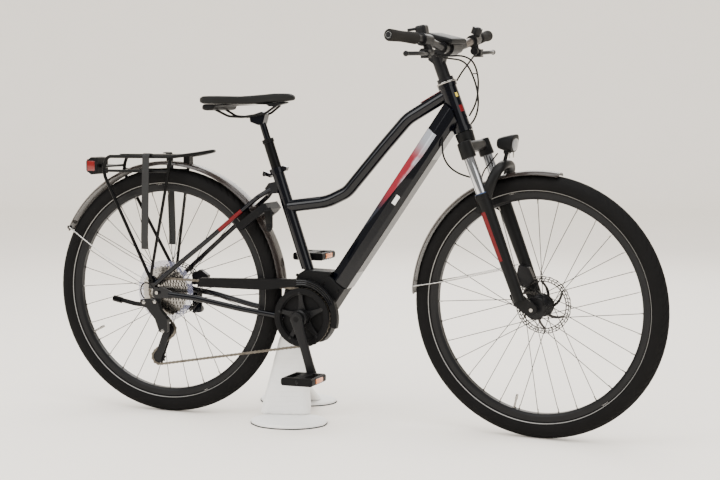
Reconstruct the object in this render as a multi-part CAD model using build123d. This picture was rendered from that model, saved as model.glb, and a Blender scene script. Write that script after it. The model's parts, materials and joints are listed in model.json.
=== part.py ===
from build123d import *
import math
import os

# City e-bicycle held upright by a wrapped display stand.
# Frame: origin on the floor under the crank axle, in the bicycle's mid-plane.
# +X points to the front wheel, +Y to the bicycle's left, +Z up.  Millimetres.

# ---- driving dimensions -------------------------------------------------
WHEEL_R = 361.0            # outside of the tyre
TYRE_R = 25.0              # tyre section radius
RIM_TOP_R = 314.0
WHEELBASE = 1121.5
CHAINSTAY = 447.0          # horizontal, crank axle to rear axle
REAR = (-CHAINSTAY, 0, WHEEL_R)
FRONT = (WHEELBASE - CHAINSTAY, 0, WHEEL_R)
CRANK = (0, 0, 306)
CRANK_LENGTH = 165.0
CRANK_LEAN = 16.5          # right arm, degrees forward of straight down
PEDAL_Y = 156.0
RING_R = 80.9              # pitch radius, 40 teeth
COG_R = 40.6               # pitch radius of the engaged 20-tooth cog
CHAIN_Y = -48.0
CHAIN_H = 8.4
CHAIN_W = 5.8
COG_PITCH_Y = 4.0
COG_RADII = [22.5, 26.5, 30.5, 34.6, 36.0, 46.6, 52.7, 60.8, 66.8, 72.9]
GUIDE = (-427, CHAIN_Y, 250)
TENSION = (-458, CHAIN_Y, 168)
PULLEY_R = 22.5

HEAD_POINT = (434, 0, 900)     # a point on the steering axis
HEAD_ANGLE = 69.5
HEAD_R = 24.0
HEAD_LOW, HEAD_HIGH = -72.0, 72.0
STEER_REST = -6.0              # the bars stand turned a little to the right
LEG_Y = 65.0
LEG_AHEAD = 17.0               # fork legs in front of the steering axis

SEAT_FOOT = (-2, 0, 436)
SEAT_ANGLE = 71.4
SEAT_TUBE_R = 17.5
SEAT_TUBE_LEN = 306.0
POST_R = 14.9
PISTON_R = 10.0

TUBE_SLOPE = 55.6              # down tube
TUBE_FOOT = (108.6, 0, 417.5)
TUBE_HALF_W = 37.0
TUBE_HALF_D = 30.5

AXLE_R = 5.0
RUN_GAP = 0.05                 # radial running clearance
PAD_THICK = 12.0
FENDER_REAR = (-447, 0, 369)

os.makedirs("parts", exist_ok=True)


# ---- small makers --------------------------------------------------------
def lean(angle):
    """Unit vector in the XZ plane, leaning back from +Z by 90 - angle degrees."""
    a = math.radians(angle)
    return Vector(-math.cos(a), 0, math.sin(a))


STEER = lean(HEAD_ANGLE)
SEAT = lean(SEAT_ANGLE)
TUBE = Vector(math.cos(math.radians(TUBE_SLOPE)), 0, math.sin(math.radians(TUBE_SLOPE)))


def along(origin, direction, distance, y=0.0, forward=0.0):
    """Point at a distance along an axis, moved sideways and square to it."""
    side = Vector(direction.Z, 0, -direction.X)
    p = Vector(*origin) + direction * distance + side * forward
    return (p.X, p.Y + y, p.Z)


def rod(a, b, r):
    """Round bar from a to b."""
    a, b = Vector(*a), Vector(*b)
    return extrude(Plane(origin=a, z_dir=b - a) * Circle(r), amount=(b - a).length)


def cone_rod(a, b, r_a, r_b):
    """Tapered round bar from a to b."""
    a, b = Vector(*a), Vector(*b)
    low = Plane(origin=a, z_dir=b - a) * Circle(r_a)
    high = Plane(origin=b, z_dir=b - a) * Circle(r_b)
    return loft([low, high])


def sleeve(a, b, r_out, r_in):
    """Tube with a through bore, from a to b."""
    a, b = Vector(*a), Vector(*b)
    extra = (b - a).normalized() * 2
    return rod(a, b, r_out) - rod(a - extra, b + extra, r_in)


def bend_radii(points, share=0.45):
    """Largest even arc for each corner: a share of the shorter run over tan(half the turn)."""
    radii = []
    for a, b, c in zip(points, points[1:], points[2:]):
        one = Vector(*b) - Vector(*a)
        two = Vector(*c) - Vector(*b)
        half_turn = math.radians(one.get_angle(two)) / 2
        radii.append(share * min(one.length, two.length) / math.tan(half_turn))
    return radii


def pipe(points, r, radii=None):
    """Round bar along straight runs joined by tangent arcs."""
    path = FilletPolyline(*points, radius=radii or bend_radii(points))
    return sweep(Plane(origin=path @ 0, z_dir=path % 0) * Circle(r), path=path)


def cord(name, points, r):
    """Cable along its route, with its bend radii and its length printed."""
    radii = bend_radii(points)
    path = FilletPolyline(*points, radius=radii)
    solid = sweep(Plane(origin=path @ 0, z_dir=path % 0) * Circle(r), path=path)
    ratio = solid.volume / (math.pi * r * r * path.length)
    rounded = [round(v, 1) for v in radii]
    print(name, "length", round(path.length, 1), "radii", rounded, "volume ratio", round(ratio, 4))
    return solid


def slab(points, y_low, y_high, round_off=0.0):
    """Plate cut to an XZ outline, from y_low to y_high, its corners rounded."""
    face = make_face(Polyline(*points, close=True))
    if round_off:
        face = fillet(face.vertices(), round_off)
    plane = Plane(origin=(0, y_high, 0), x_dir=(1, 0, 0), z_dir=(0, -1, 0))
    return extrude(plane * face, amount=y_high - y_low)


def ring(profile, centre, start=0.0, arc=360.0):
    """Profile of (radius, y) points turned about a Y axis through centre."""
    hub = Vector(centre[0], 0, centre[2])
    face = profile if isinstance(profile, Sketch) else make_face(Polyline(*profile, close=True))
    axis = Axis(hub, (0, -1, 0))
    solid = revolve(Plane(origin=hub) * face, axis=axis, revolution_arc=arc)
    return solid.rotate(axis, start) if start else solid


def disc(centre, r, y_low, y_high, bore=0.0):
    """Flat round plate on a Y axis, with an optional bore."""
    c = (centre[0], y_high, centre[2])
    d = (centre[0], y_low, centre[2])
    return sleeve(c, d, r, bore) if bore else rod(c, d, r)


def block(centre, size, turn=0.0):
    """Box about its centre, turned about Y (degrees, nose up when positive)."""
    return Pos(*centre) * Rot(0, -turn, 0) * Box(*size)


def mirror_y(shape):
    """The same shape on the other side of the mid-plane."""
    return mirror(shape, about=Plane.XZ)


def turned(shape):
    """Steered parts are drawn straight ahead and stand turned to their rest place."""
    return shape.rotate(Axis(HEAD_POINT, tuple(STEER)), STEER_REST)


def save(name, *shapes):
    """Write one node; several shapes are kept as separate solids of that node."""
    solids = []
    for shape in shapes:
        solids += shape.solids()
    result = solids[0] if len(solids) == 1 else Compound(children=solids)
    result.label = name
    export_step(result, f"parts/{name}.step")


# ---- frame ---------------------------------------------------------------
def head_tube():
    low = along(HEAD_POINT, STEER, HEAD_LOW)
    high = along(HEAD_POINT, STEER, HEAD_HIGH)
    body = rod(low, high, HEAD_R)
    for end, sign in ((low, 1), (high, -1)):
        cup_end = tuple(Vector(*end) + STEER * 14 * sign)
        body += rod(end, cup_end, HEAD_R + 3)
    over = STEER * 3
    return body - rod(Vector(*low) - over, Vector(*high) + over, 16.0)


def seat_tube():
    top = along(SEAT_FOOT, SEAT, SEAT_TUBE_LEN)
    tube = sleeve(along(SEAT_FOOT, SEAT, 0), top, SEAT_TUBE_R, POST_R + RUN_GAP)
    collar = sleeve(along(SEAT_FOOT, SEAT, SEAT_TUBE_LEN - 16), top, SEAT_TUBE_R + 4.5, POST_R + RUN_GAP)
    lever = block(along(SEAT_FOOT, SEAT, SEAT_TUBE_LEN - 8, forward=-32), (26, 16, 11), -18.6)
    lever += rod(along(SEAT_FOOT, SEAT, SEAT_TUBE_LEN - 8, 11, -36),
                 along(SEAT_FOOT, SEAT, SEAT_TUBE_LEN - 8, -19, -36), 4.5)
    nut = block(along(SEAT_FOOT, SEAT, SEAT_TUBE_LEN - 8, forward=26), (14, 16, 11), -18.6)
    bore = rod(along(SEAT_FOOT, SEAT, SEAT_TUBE_LEN - 40), along(SEAT_FOOT, SEAT, SEAT_TUBE_LEN + 20),
               POST_R + RUN_GAP)
    return tube + collar + (lever + nut - bore)


def tube_section(half_w, half_d):
    """Down tube section: flat belly, upright sides, and shoulders that slope in to a narrow back."""
    points = [(-0.80 * half_w, -half_d), (0.80 * half_w, -half_d), (half_w, -0.62 * half_d),
              (half_w, 0.20 * half_d), (0.56 * half_w, half_d), (-0.56 * half_w, half_d),
              (-half_w, 0.20 * half_d), (-half_w, -0.62 * half_d)]
    return fillet(make_face(Polyline(*points, close=True)).vertices(), 4.0)


def tube_plane(distance):
    """Work plane across the down tube: local x is +Y, local y is the tube's upper side."""
    return Plane(origin=along(TUBE_FOOT, TUBE, distance), x_dir=(0, 1, 0), z_dir=TUBE)


BAY_START, BAY_END = 45.0, 430.0
BAY_HALF_W, BAY_TOP = 29.0, 16.0


def down_tube(head, motor):
    body = extrude(tube_plane(-12) * tube_section(TUBE_HALF_W, TUBE_HALF_D), amount=590)
    bay_depth = BAY_TOP + TUBE_HALF_D + 2
    bay_face = Pos(0, BAY_TOP - bay_depth / 2) * Rectangle(2 * BAY_HALF_W, bay_depth)
    bay = extrude(tube_plane(BAY_START) * bay_face, amount=BAY_END - BAY_START)
    steerer_room = rod(along(HEAD_POINT, STEER, -110), along(HEAD_POINT, STEER, 110), HEAD_R)
    ahead = Pos(*along(HEAD_POINT, STEER, 0, forward=100))
    front = ahead * Rot(0, -(90 - HEAD_ANGLE), 0) * Box(200, 200, 500)
    return body - bay - steerer_room - front - head - motor


def battery():
    gap = 0.6
    depth = BAY_TOP - gap + TUBE_HALF_D
    body = extrude(tube_plane(BAY_START + gap) * Pos(0, BAY_TOP - gap - depth / 2)
                   * Rectangle(2 * (BAY_HALF_W - gap), depth), amount=BAY_END - BAY_START - 2 * gap)
    return body


def motor_unit():
    shell = [(122, 389.5), (76.6, 424.9), (84.85, 436.9), (-24, 440), (-42, 430), (-64, 392),
             (-72, 340), (-66, 278), (-38, 238), (14, 236), (40, 267)]
    body = slab(shell, -37, 37)
    body += disc(CRANK, 88, -41.5, 0) & slab(shell, -60, 60)
    body += disc(CRANK, 64, 0, 50)
    body -= slab([(-30, 441.5), (-30, 436), (30, 436), (30, 441.5)], -60, -SEAT_TUBE_R - 8)
    body -= slab([(-30, 441.5), (-30, 436), (30, 436), (30, 441.5)], SEAT_TUBE_R + 8, 60)
    return body - disc(CRANK, 12 + RUN_GAP, -80, 80)


def top_tube(head, seat, down):
    points = [(-60, 0, 618), (60, 0, 634), (118, 0, 662), (226, 0, 788), (298, 0, 868), (440, 0, 952)]
    body = pipe(points, 18.0, [120, 70, 400, 110])
    inner = pipe(points, 15.6, [120, 70, 400, 110])
    seat_room = rod(along(SEAT_FOOT, SEAT, 0), along(SEAT_FOOT, SEAT, 300), SEAT_TUBE_R)
    head_room = rod(along(HEAD_POINT, STEER, -110), along(HEAD_POINT, STEER, 110), HEAD_R)
    return (body - inner - seat_room - head_room - head - seat - down).solids().sort_by(SortBy.VOLUME)[-1]


def chain_stays(motor):
    stays = []
    for side in (1, -1):
        points = [(-60, side * 36, 302), (-200, side * 45, 322), (-330, side * 62, 348),
                  (-412, side * 72.5, 357)]
        stay = pipe(points, 8.5, [400, 300])
        plate = slab([(-424, 345), (-405, 344), (-396, 352), (-402, 364), (-436, 378), (-462, 376),
                      (-466, 352), (-456, 344)], 68.5, 74.5)
        eyelet = slab([(-478, 372), (-458, 371), (-454, 404), (-462, 410), (-474, 408)], 68.5, 74.5)
        end = plate + eyelet
        end = end if side > 0 else mirror_y(end)
        stays.append(stay + end - motor)
    bridge = slab([(-64, 292), (-64, 318), (-84, 318), (-88, 306), (-84, 294)], -36, 36)
    return (stays[0] + stays[1] + bridge - motor - disc(REAR, AXLE_R, -90, 90)
            - disc((-466, 0, 396), 2.5, -90, 90))


def seat_stays(seat, chain):
    stays = []
    for side in (1, -1):
        points = [(-112, side * 6, 668), (-142, side * 38, 644), (-304, side * 50, 511),
                  (-420, side * 68, 417), (-454, side * 76, 386)]
        stays.append(pipe(points, 7.0, [22, 300, 40]))
    yoke = slab([(-90, 690), (-90, 655), (-122, 652), (-130, 668), (-118, 684)], -16, 16)
    bridge = rod((-176, -40, 617), (-176, 40, 617), 5)
    clear = ring([(300, -33), (300, 33), (382, 33), (382, -33)], FENDER_REAR)
    return ((stays[0] + stays[1] + yoke + bridge) - seat - clear - chain).solids().sort_by(SortBy.VOLUME)[-1]


def rear_rack(blade):
    foot = [(-466, s * 80, 396) for s in (1, -1)]
    left_rail = [(-468, 80.5, 402), (-634, 60, 712), (-618, 60, 756), (-400, 60, 757), (-338, 32, 766),
                 (-300, 8, 773)]
    rail = left_rail + [(x, -y, z) for x, y, z in reversed(left_rail)]
    radii = [60, 18, 60, 40, 9, 9, 40, 60, 18, 60]
    rack = pipe(rail, 5.0, radii)
    for s in (1, -1):
        rack += rod((-468, s * 80.5, 402), (-408, s * 60, 755), 4.5)
        rack += rod((-633, s * 60, 714), (-415, s * 62, 714), 4.0)
        rack += disc(foot[0], 8, 75.5, 84) if s > 0 else disc(foot[1], 8, -84, -75.5)
    for x in (-600, -505, -415):
        rack += rod((x, -60, 756.5), (x, 60, 756.5), 4.0)
    rack += slab([(-602, 758.5), (-345, 758.5), (-345, 762.5), (-602, 762.5)], -14, 14)
    rack += slab([(-392, 760), (-372, 760), (-372, 730), (-392, 730)], -12, 12)
    rack += rod((-634, -60, 726), (-634, 60, 726), 4.0)
    rack += slab([(-636, 722), (-636, 730), (-668, 731), (-668, 721)], -18, 18)
    under_blade = ring([(200, -13), (200, 13), (373, 13), (373, -13)], FENDER_REAR)
    return rack - disc((-466, 0, 396), 2.6, -90, 90) - blade - under_blade


def fender_blade(centre, outer_r, start, end):
    """Curved mudguard: a shallow arched section turned round the wheel."""
    arch = [(-30, -9), (-24, -4.0), (-14, -1.2), (0, 0), (14, -1.2), (24, -4.0), (30, -9)]
    top = [(outer_r + dz, y) for y, dz in arch]
    low = [(outer_r + dz - 2.2, y) for y, dz in reversed(arch)]
    return ring(top + low, centre, start, end - start)


def rear_fender():
    blade = fender_blade(FENDER_REAR, 374, 4, 154)
    stays = []
    for s in (1, -1):
        stays.append(pipe([(-767, s * 33, 541), (-620, s * 60, 455), (-470, s * 66, 385)], 1.8, [200]))
    return [blade] + stays


def frame_lock():
    """Ring lock: a horseshoe round the tyre, with its key in the near arm."""
    a = math.radians(37.6)
    plane = Plane(origin=(REAR[0], 0, REAR[2]), x_dir=(0, 1, 0), z_dir=(math.sin(a), 0, -math.cos(a)))
    up = 1 if plane.y_dir.Z > 0 else -1
    outer = [(-62, 318), (-62, 400), (-44, 424), (44, 424), (62, 400), (62, 318)]
    inner = [(-46, 310), (-46, 392), (-36, 402), (36, 402), (46, 392), (46, 310)]
    face = make_face(Polyline(*[(x, up * y) for x, y in outer], close=True))
    hole = make_face(Polyline(*[(x, up * y) for x, y in inner], close=True))
    body = extrude(plane * (face - hole), amount=11, both=True)
    key = slab([(-108, 612), (-92, 618), (-84, 606), (-84, 560), (-92, 548), (-104, 552), (-106, 590)],
               -65.5, -63.0)
    return body, key


def rear_light():
    body = slab([(-668.4, 702), (-668.4, 750), (-690, 752), (-706, 740), (-706, 712), (-690, 700)], -32, 32)
    return body


def rack_straps():
    straps = []
    for s in (1, -1):
        section = [(s * 52, 763), (s * 66, 764.5), (s * 73, 758), (s * 86, 520), (s * 84.5, 488),
                   (s * 87, 488), (s * 88.5, 520), (s * 75.5, 759.5), (s * 68, 767), (s * 52, 765.5)]
        plane = Plane(origin=(-471, 0, 0), x_dir=(0, 1, 0), z_dir=(1, 0, 0))
        straps.append(extrude(plane * make_face(Polyline(*section, close=True)), amount=-22))
    return straps


def belt_outline(wheels, offset):
    """Closed loop of lines and arcs round wheels (x, z, r, s): s is +1 when the wheel is inside the loop."""
    grown = [(x, z, r + s * offset, s) for x, z, r, s in wheels]
    ends = []
    for i, (x0, z0, r0, s0) in enumerate(grown):
        x1, z1, r1, s1 = grown[(i + 1) % len(grown)]
        d = math.hypot(x1 - x0, z1 - z0)
        base = math.atan2(z1 - z0, x1 - x0)
        swing = math.asin((s1 * r1 - s0 * r0) / d)
        heading = base - swing
        nx, nz = math.sin(heading), -math.cos(heading)
        ends.append(((x0 + s0 * r0 * nx, z0 + s0 * r0 * nz), (x1 + s1 * r1 * nx, z1 + s1 * r1 * nz)))
    edges = []
    for i, (x, z, r, s) in enumerate(grown):
        before, after = ends[i - 1][1], ends[i][0]
        edges.append(Line(ends[i][0], ends[i][1]))
        a0 = math.atan2(before[1] - z, before[0] - x)
        a1 = math.atan2(after[1] - z, after[0] - x)
        sweep_angle = (a1 - a0) % (2 * math.pi) if s > 0 else -((a0 - a1) % (2 * math.pi))
        mid = a0 + sweep_angle / 2
        edges.append(ThreePointArc(before, (x + r * math.cos(mid), z + r * math.sin(mid)), after))
    return make_face(Wire(edges))


def chain():
    """One closed loop: ring, engaged cog, round the front of the guide pulley, round the tension pulley."""
    wheels = [(CRANK[0], CRANK[2], RING_R, 1), (REAR[0], REAR[2], COG_R, 1),
              (GUIDE[0], GUIDE[2], PULLEY_R, -1), (TENSION[0], TENSION[2], PULLEY_R, 1)]
    face = belt_outline(wheels, CHAIN_H / 2) - belt_outline(wheels, -CHAIN_H / 2)
    plane = Plane(origin=(0, CHAIN_Y + CHAIN_W / 2, 0), x_dir=(1, 0, 0), z_dir=(0, -1, 0))
    return extrude(plane * face, amount=CHAIN_W)


def chain_guard():
    """Plate outside the upper run, ending in an arc round the front of the chainring."""
    arm = slab([(-327, 381), (-318, 407), (-20, 415), (0, 415), (0, 397), (-120, 380)], -59.5, -57.5)
    lip = slab([(-318, 405.5), (-20, 413.5), (0, 413.5), (0, 415), (-20, 415), (-318, 407)], -59.5, -42)
    arc = ring([(92, -59.5), (92, -57.5), (108, -57.5), (108, -42), (109.5, -42), (109.5, -59.5)],
               CRANK, -14, 104)
    return arm + lip + arc


def rear_brake():
    body = slab([(-395, 372), (-352, 381), (-345, 402), (-372, 420), (-400, 404)], 50, 66, 4)
    disc_room = disc(REAR, 81, 54.2, 57.8)
    return body - disc_room


def derailleur_body():
    hanger = slab([(-462, 344), (-438, 344), (-440, 330), (-452, 326), (-464, 332)], -74.5, -68.5)
    knuckle = slab([(-500, 340), (-470, 343), (-442, 334), (-434, 312), (-412, 284), (-412, 246), (-438, 246),
                    (-452, 284), (-480, 316), (-500, 322)], -86, -70, 4)
    pivot = disc(GUIDE, 9, -72, -66)
    stub = disc(GUIDE, 4, -66, -55)
    return hanger + knuckle + pivot + stub - disc(REAR, 30, -69, -60)


def derailleur_cage():
    """Two plates with the guide and tension pulleys between them, turning about the guide pulley."""
    dx, dz = TENSION[0] - GUIDE[0], TENSION[2] - GUIDE[2]
    n = math.hypot(dx, dz)
    ux, uz = dx / n, dz / n
    px, pz = -uz * 11, ux * 11
    plate = [(GUIDE[0] - ux * 12 + px, GUIDE[2] - uz * 12 + pz),
             (GUIDE[0] - ux * 12 - px, GUIDE[2] - uz * 12 - pz),
             (TENSION[0] + ux * 12 - px, TENSION[2] + uz * 12 - pz),
             (TENSION[0] + ux * 12 + px, TENSION[2] + uz * 12 + pz)]
    near = slab(plate, -56.5, -54.5, 6)
    far = slab(plate, -41.5, -39.5, 6)
    pulleys = []
    for centre in (GUIDE, TENSION):
        pulleys.append(disc(centre, PULLEY_R - CHAIN_H / 2 - 0.4, -49.2, -46.8))
        pulleys.append(disc(centre, 5, -54.5, -49.2))
        pulleys.append(disc(centre, 5, -46.8, -41.5))
    cage = near + far
    for piece in pulleys:
        cage += piece
    return cage - disc(GUIDE, 4 + RUN_GAP, -60, -54.8)


def stand_feet():
    near = Pos(-42, -50, 0) * extrude(Ellipse(113, 100), amount=PAD_THICK)
    far = Pos(-149, 269, 0) * extrude(Ellipse(123, 91), amount=PAD_THICK)
    return near, far


STAND_TURN = 12.0


def stand_legs(feet):
    """Wrapped inverted-V column: two legs that meet in one neck, clear of the turning left crank arm."""
    def section(x, y, z, length, depth):
        face = fillet(Rectangle(length, depth).face().vertices(), min(length, depth) * 0.35)
        return Pos(x, y, z) * Rot(0, 0, STAND_TURN) * face

    near = loft([section(-84, 22, PAD_THICK, 150, 60), section(-78, 40, 130, 110, 50),
                 section(-66, 44, 236, 84, 40)], ruled=True)
    far = loft([section(-140, 240, PAD_THICK, 150, 60), section(-112, 150, 56, 124, 50),
                section(-84, 44, 120, 104, 44), section(-66, 44, 236, 84, 40)], ruled=True)
    return near + far - feet[0] - feet[1]


def stand_cradle(motor, stays, legs):
    """Wrapped head of the stand, cut to the shape of what it carries."""
    head = Pos(-62, 44, 255) * Rot(0, 0, STAND_TURN) * Box(76, 40, 60)
    saddle_block = Pos(-40, 22, 262) * Box(60, 60, 46)
    carried = motor + stays + legs + disc(CRANK, 14, 30, 110)
    return ((head + saddle_block) - carried).solids().sort_by(SortBy.VOLUME)[-1]


def kickstand():
    """Left-side stand, folded back under the chain stay, on a pivot pin."""
    arm = pipe([(-395, 92, 296), (-520, 94, 302), (-610, 98, 299), (-686, 106, 312)], 7.0, [300, 160])
    foot = rod((-668, 104, 308), (-696, 107, 313), 9.5)
    boss = disc((-395, 0, 296), 11, 82, 99)
    return arm + foot + boss - disc((-395, 0, 296), 4 + RUN_GAP, 70, 120)


def kickstand_mount(stays):
    plate = slab([(-412, 352), (-380, 348), (-380, 288), (-410, 284)], 74.6, 80.6, 3)
    pin = disc((-395, 0, 296), 4, 78, 104) + disc((-395, 0, 296), 8, 100.2, 104)
    return plate + pin - stays


# ---- wheels --------------------------------------------------------------
def tyre(centre):
    outer = Pos(336, 0) * Circle(TYRE_R)
    cavity = Pos(336, 0) * Circle(TYRE_R - 4.5)
    mouth = Pos(318, 0) * Rectangle(10, 14)
    keep = Pos(RIM_TOP_R + 50, 0) * Rectangle(100, 60)
    return ring((outer - cavity - mouth) & keep, centre)


def rim(centre):
    profile = [(293, -8), (300, -12.5), (314, -13.5), (314, -11), (301, -10), (296, -6), (296, 6), (301, 10),
               (314, 11), (314, 13.5), (300, 12.5), (293, 8)]
    return ring(profile, centre)


def spokes(centre, flange_left, flange_right, flange_r, count=32):
    """Laced wheel: each flange sends its spokes alternately forward and back."""
    made = []
    per_side = count // 2
    for side, y_flange in ((1, flange_left), (-1, flange_right)):
        for i in range(per_side):
            turn = 1 if i % 2 else -1
            rim_angle = 2 * math.pi * (i + (0.5 if side > 0 else 0.0)) / per_side
            hub_angle = rim_angle + turn * math.radians(68)
            a = (centre[0] + flange_r * math.cos(hub_angle), y_flange + turn * 4.7,
                 centre[2] + flange_r * math.sin(hub_angle))
            b = (centre[0] + 292.6 * math.cos(rim_angle), side * 3.0, centre[2] + 292.6 * math.sin(rim_angle))
            made.append(rod(a, b, 1.0))
    return made


def front_hub():
    bore = AXLE_R + RUN_GAP
    shell = ring([(bore, -49), (bore, 49), (10, 49), (10, 45), (17, 45), (17, 30), (31, 30), (31, 26),
                  (21, 22), (21, -22), (31, -26), (31, -30), (10, -36), (10, -49)], FRONT)
    rotor = disc(FRONT, 80, 38.5, 40.3, 17)
    return shell, rotor


def rear_hub():
    bore = AXLE_R + RUN_GAP
    shell = ring([(bore, -20), (bore, 62), (11, 62), (11, 59), (17, 59), (17, 34), (32, 34), (32, 30),
                  (22, 26), (22, -12), (32, -16), (32, -20)], REAR)
    rotor = disc(REAR, 80, 55.1, 56.9, 17)
    guard = disc(REAR, 90, -26.2, -25.0, 32)
    return shell, rotor, guard


def cassette():
    bore = AXLE_R + RUN_GAP
    body = ring([(bore, -66.5), (bore, -24.4), (17, -24.4), (17, -66.5)], REAR)
    for i, r in enumerate(COG_RADII):
        y = CHAIN_Y + (i - 4) * COG_PITCH_Y
        body += disc(REAR, r, y - 0.8, y + 0.8, bore)
    return body


# ---- crank ---------------------------------------------------------------
def pedal_centre(side):
    """Pedal axle end: side -1 is the right pedal, which hangs low; +1 the left, which stands high."""
    a = math.radians(CRANK_LEAN)
    s = -side
    return (s * CRANK_LENGTH * math.sin(a), side * PEDAL_Y, CRANK[2] - s * CRANK_LENGTH * math.cos(a))


def crank_arms():
    spindle = disc(CRANK, 12, -84, 88)
    arms = spindle
    for side in (-1, 1):
        p = pedal_centre(side)
        low, high = (-97, -83) if side < 0 else (78, 92)
        hub = disc(CRANK, 19, low, high)
        eye = disc(p, 14, low, high)
        dx, dz = p[0] - CRANK[0], p[2] - CRANK[2]
        n = math.hypot(dx, dz)
        ox, oz = -dz / n, dx / n
        web = slab([(CRANK[0] + ox * 17, CRANK[2] + oz * 17), (CRANK[0] - ox * 17, CRANK[2] - oz * 17),
                    (p[0] - ox * 12.5, p[2] - oz * 12.5), (p[0] + ox * 12.5, p[2] + oz * 12.5)], low, high)
        arms += hub + eye + web
        pin_low, pin_high = (-204, -90) if side < 0 else (90, 204)
        arms += disc(p, 5, pin_low, pin_high)
    return arms


def chainring():
    """Ring on a five-arm spider, with an outer guard ring held off on posts."""
    body = disc(CRANK, RING_R - CHAIN_H / 2 - 0.4, CHAIN_Y - 1.2, CHAIN_Y + 1.2, 62)
    body += disc(CRANK, 25, -82.9, -43.6, 12.4)
    body += disc(CRANK, 84, -57.0, -54.5, 66)
    for i in range(5):
        a = 2 * math.pi * i / 5 + 0.4
        c, s = math.cos(a), math.sin(a)
        body += Pos(45 * c, -50.6, CRANK[2] + 45 * s) * Rot(0, -math.degrees(a), 0) * Box(52, 4.0, 16)
        body += rod((69 * c, -57, CRANK[2] + 69 * s), (69 * c, -46, CRANK[2] + 69 * s), 5)
    return body - disc(CRANK, 12.4, -90, -40)


def pedal(side):
    p = pedal_centre(side)
    low, high = (-203, -103) if side < 0 else (103, 203)
    core = disc(p, 11, low, high, 5 + RUN_GAP)
    frame = block((p[0], (low + high) / 2, p[2]), (94, 100, 22))
    frame = fillet(frame.edges().filter_by(Axis.Y), 7)
    windows = block((p[0] + 27, (low + high) / 2, p[2]), (22, 72, 40))
    windows += block((p[0] - 27, (low + high) / 2, p[2]), (22, 72, 40))
    return frame - windows + core - disc(p, 5 + RUN_GAP, low - 1, high + 1)


# ---- saddle --------------------------------------------------------------
def seat_post():
    low = along(SEAT_FOOT, SEAT, 120)
    high = along(SEAT_FOOT, SEAT, 392)
    body = sleeve(low, high, POST_R, PISTON_R + RUN_GAP)
    return body + sleeve(along(SEAT_FOOT, SEAT, 382), high, POST_R + 2.0, PISTON_R + RUN_GAP)


def post_piston():
    body = rod(along(SEAT_FOOT, SEAT, 330), along(SEAT_FOOT, SEAT, 440), PISTON_R)
    head = slab([(-177, 869), (-175, 858), (-150, 849), (-136, 852), (-132, 866), (-128, 880), (-138, 888),
                 (-165, 880)], -15, 15, 3)
    body += head
    for s in (1, -1):
        body -= rod((-190, s * 21, 872), (-100, s * 21, 884), 3.6)
    return body


def saddle_rails():
    rails = []
    for s in (1, -1):
        points = [(-283, s * 36, 897), (-238, s * 26, 874), (-196, s * 21, 872), (-126, s * 19, 882),
                  (-94, s * 14, 905)]
        rails.append(pipe(points, 3.5, [40, 60, 30]))
    return rails


def saddle_plan(grow, low, high):
    """Saddle seen from above: broad at the back, narrow nose."""
    half = [(-321, 0), (-320, 34), (-310, 66), (-286, 83), (-256, 84), (-222, 70), (-186, 44), (-150, 29),
            (-100, 23), (-58, 20), (-45, 12), (-42, 0)]
    right = [(x, y + grow if 0 < y else 0) for x, y in half]
    left = [(x, -y) for x, y in reversed(right[1:-1])]
    face = make_face(Spline(*[(p[0], p[1]) for p in right + left], periodic=True))
    return extrude(Pos(0, 0, low) * face, amount=high - low)


def saddle_pad():
    side = [(-323, 915), (-316, 927), (-298, 932), (-250, 932.5), (-200, 931), (-150, 935), (-100, 939.5),
            (-60, 939.5), (-44, 933), (-40, 921), (-60, 917.5), (-120, 914), (-180, 909), (-240, 909),
            (-300, 910)]
    return saddle_plan(0, 880, 960) & slab(side, -120, 120)


def saddle_shell(rails):
    side = [(-300, 909.4), (-240, 908.4), (-180, 908.4), (-120, 913.4), (-62, 916.8), (-64, 912), (-100, 903),
            (-180, 899), (-240, 896), (-285, 890), (-306, 894)]
    body = saddle_plan(-6, 880, 960) & slab(side, -120, 120)
    cut = slab([(-262, 880), (-262, 903.5), (-120, 908), (-120, 880)], -120, 120)
    body = (body - cut).solids().sort_by(SortBy.VOLUME)[-1]
    for rail in rails:
        body -= rail
    return body


# ---- steering ------------------------------------------------------------
def fork_crown():
    """Steerer, crown and the two fixed inner tubes of the fork."""
    steerer = rod(along(HEAD_POINT, STEER, -104), along(HEAD_POINT, STEER, 86), 15.9)
    crown_at = Pos(*along(HEAD_POINT, STEER, -118, forward=10))
    crown = crown_at * Rot(0, -(90 - HEAD_ANGLE), 0) * Box(44, 140, 30)
    crown = fillet(crown.edges().filter_by(Axis.Y), 8)
    base = rod(along(HEAD_POINT, STEER, -104), along(HEAD_POINT, STEER, -73), 26)
    body = steerer + crown + base
    for s in (1, -1):
        body += rod(along(HEAD_POINT, STEER, -103, s * LEG_Y, LEG_AHEAD),
                    along(HEAD_POINT, STEER, -150, s * LEG_Y, LEG_AHEAD), 20)
        body += rod(along(HEAD_POINT, STEER, -110, s * LEG_Y, LEG_AHEAD),
                    along(HEAD_POINT, STEER, -380, s * LEG_Y, LEG_AHEAD), 15)
    return body


def stem():
    column = sleeve(along(HEAD_POINT, STEER, 72.6), along(HEAD_POINT, STEER, 154), 17.5, 16)
    cap = rod(along(HEAD_POINT, STEER, 148), along(HEAD_POINT, STEER, 156), 17.5)
    skirt = sleeve(along(HEAD_POINT, STEER, 72.6), along(HEAD_POINT, STEER, 84), 23, 16)
    neck = slab([(360, 1030), (372, 1052), (412, 1076), (424, 1056), (406, 1034), (398, 1004)], -15, 15, 5)
    clamp = disc((421, 0, 1062), 22, -24, 24)
    return column + cap + skirt + neck + clamp - disc((421, 0, 1062), 15.9, -60, 60) \
        - rod(along(HEAD_POINT, STEER, 60), along(HEAD_POINT, STEER, 86.5), 16)


BAR = [(421, 0, 1062), (421, 64, 1063), (424, 150, 1080), (418, 215, 1087), (396, 340, 1096)]


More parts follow.
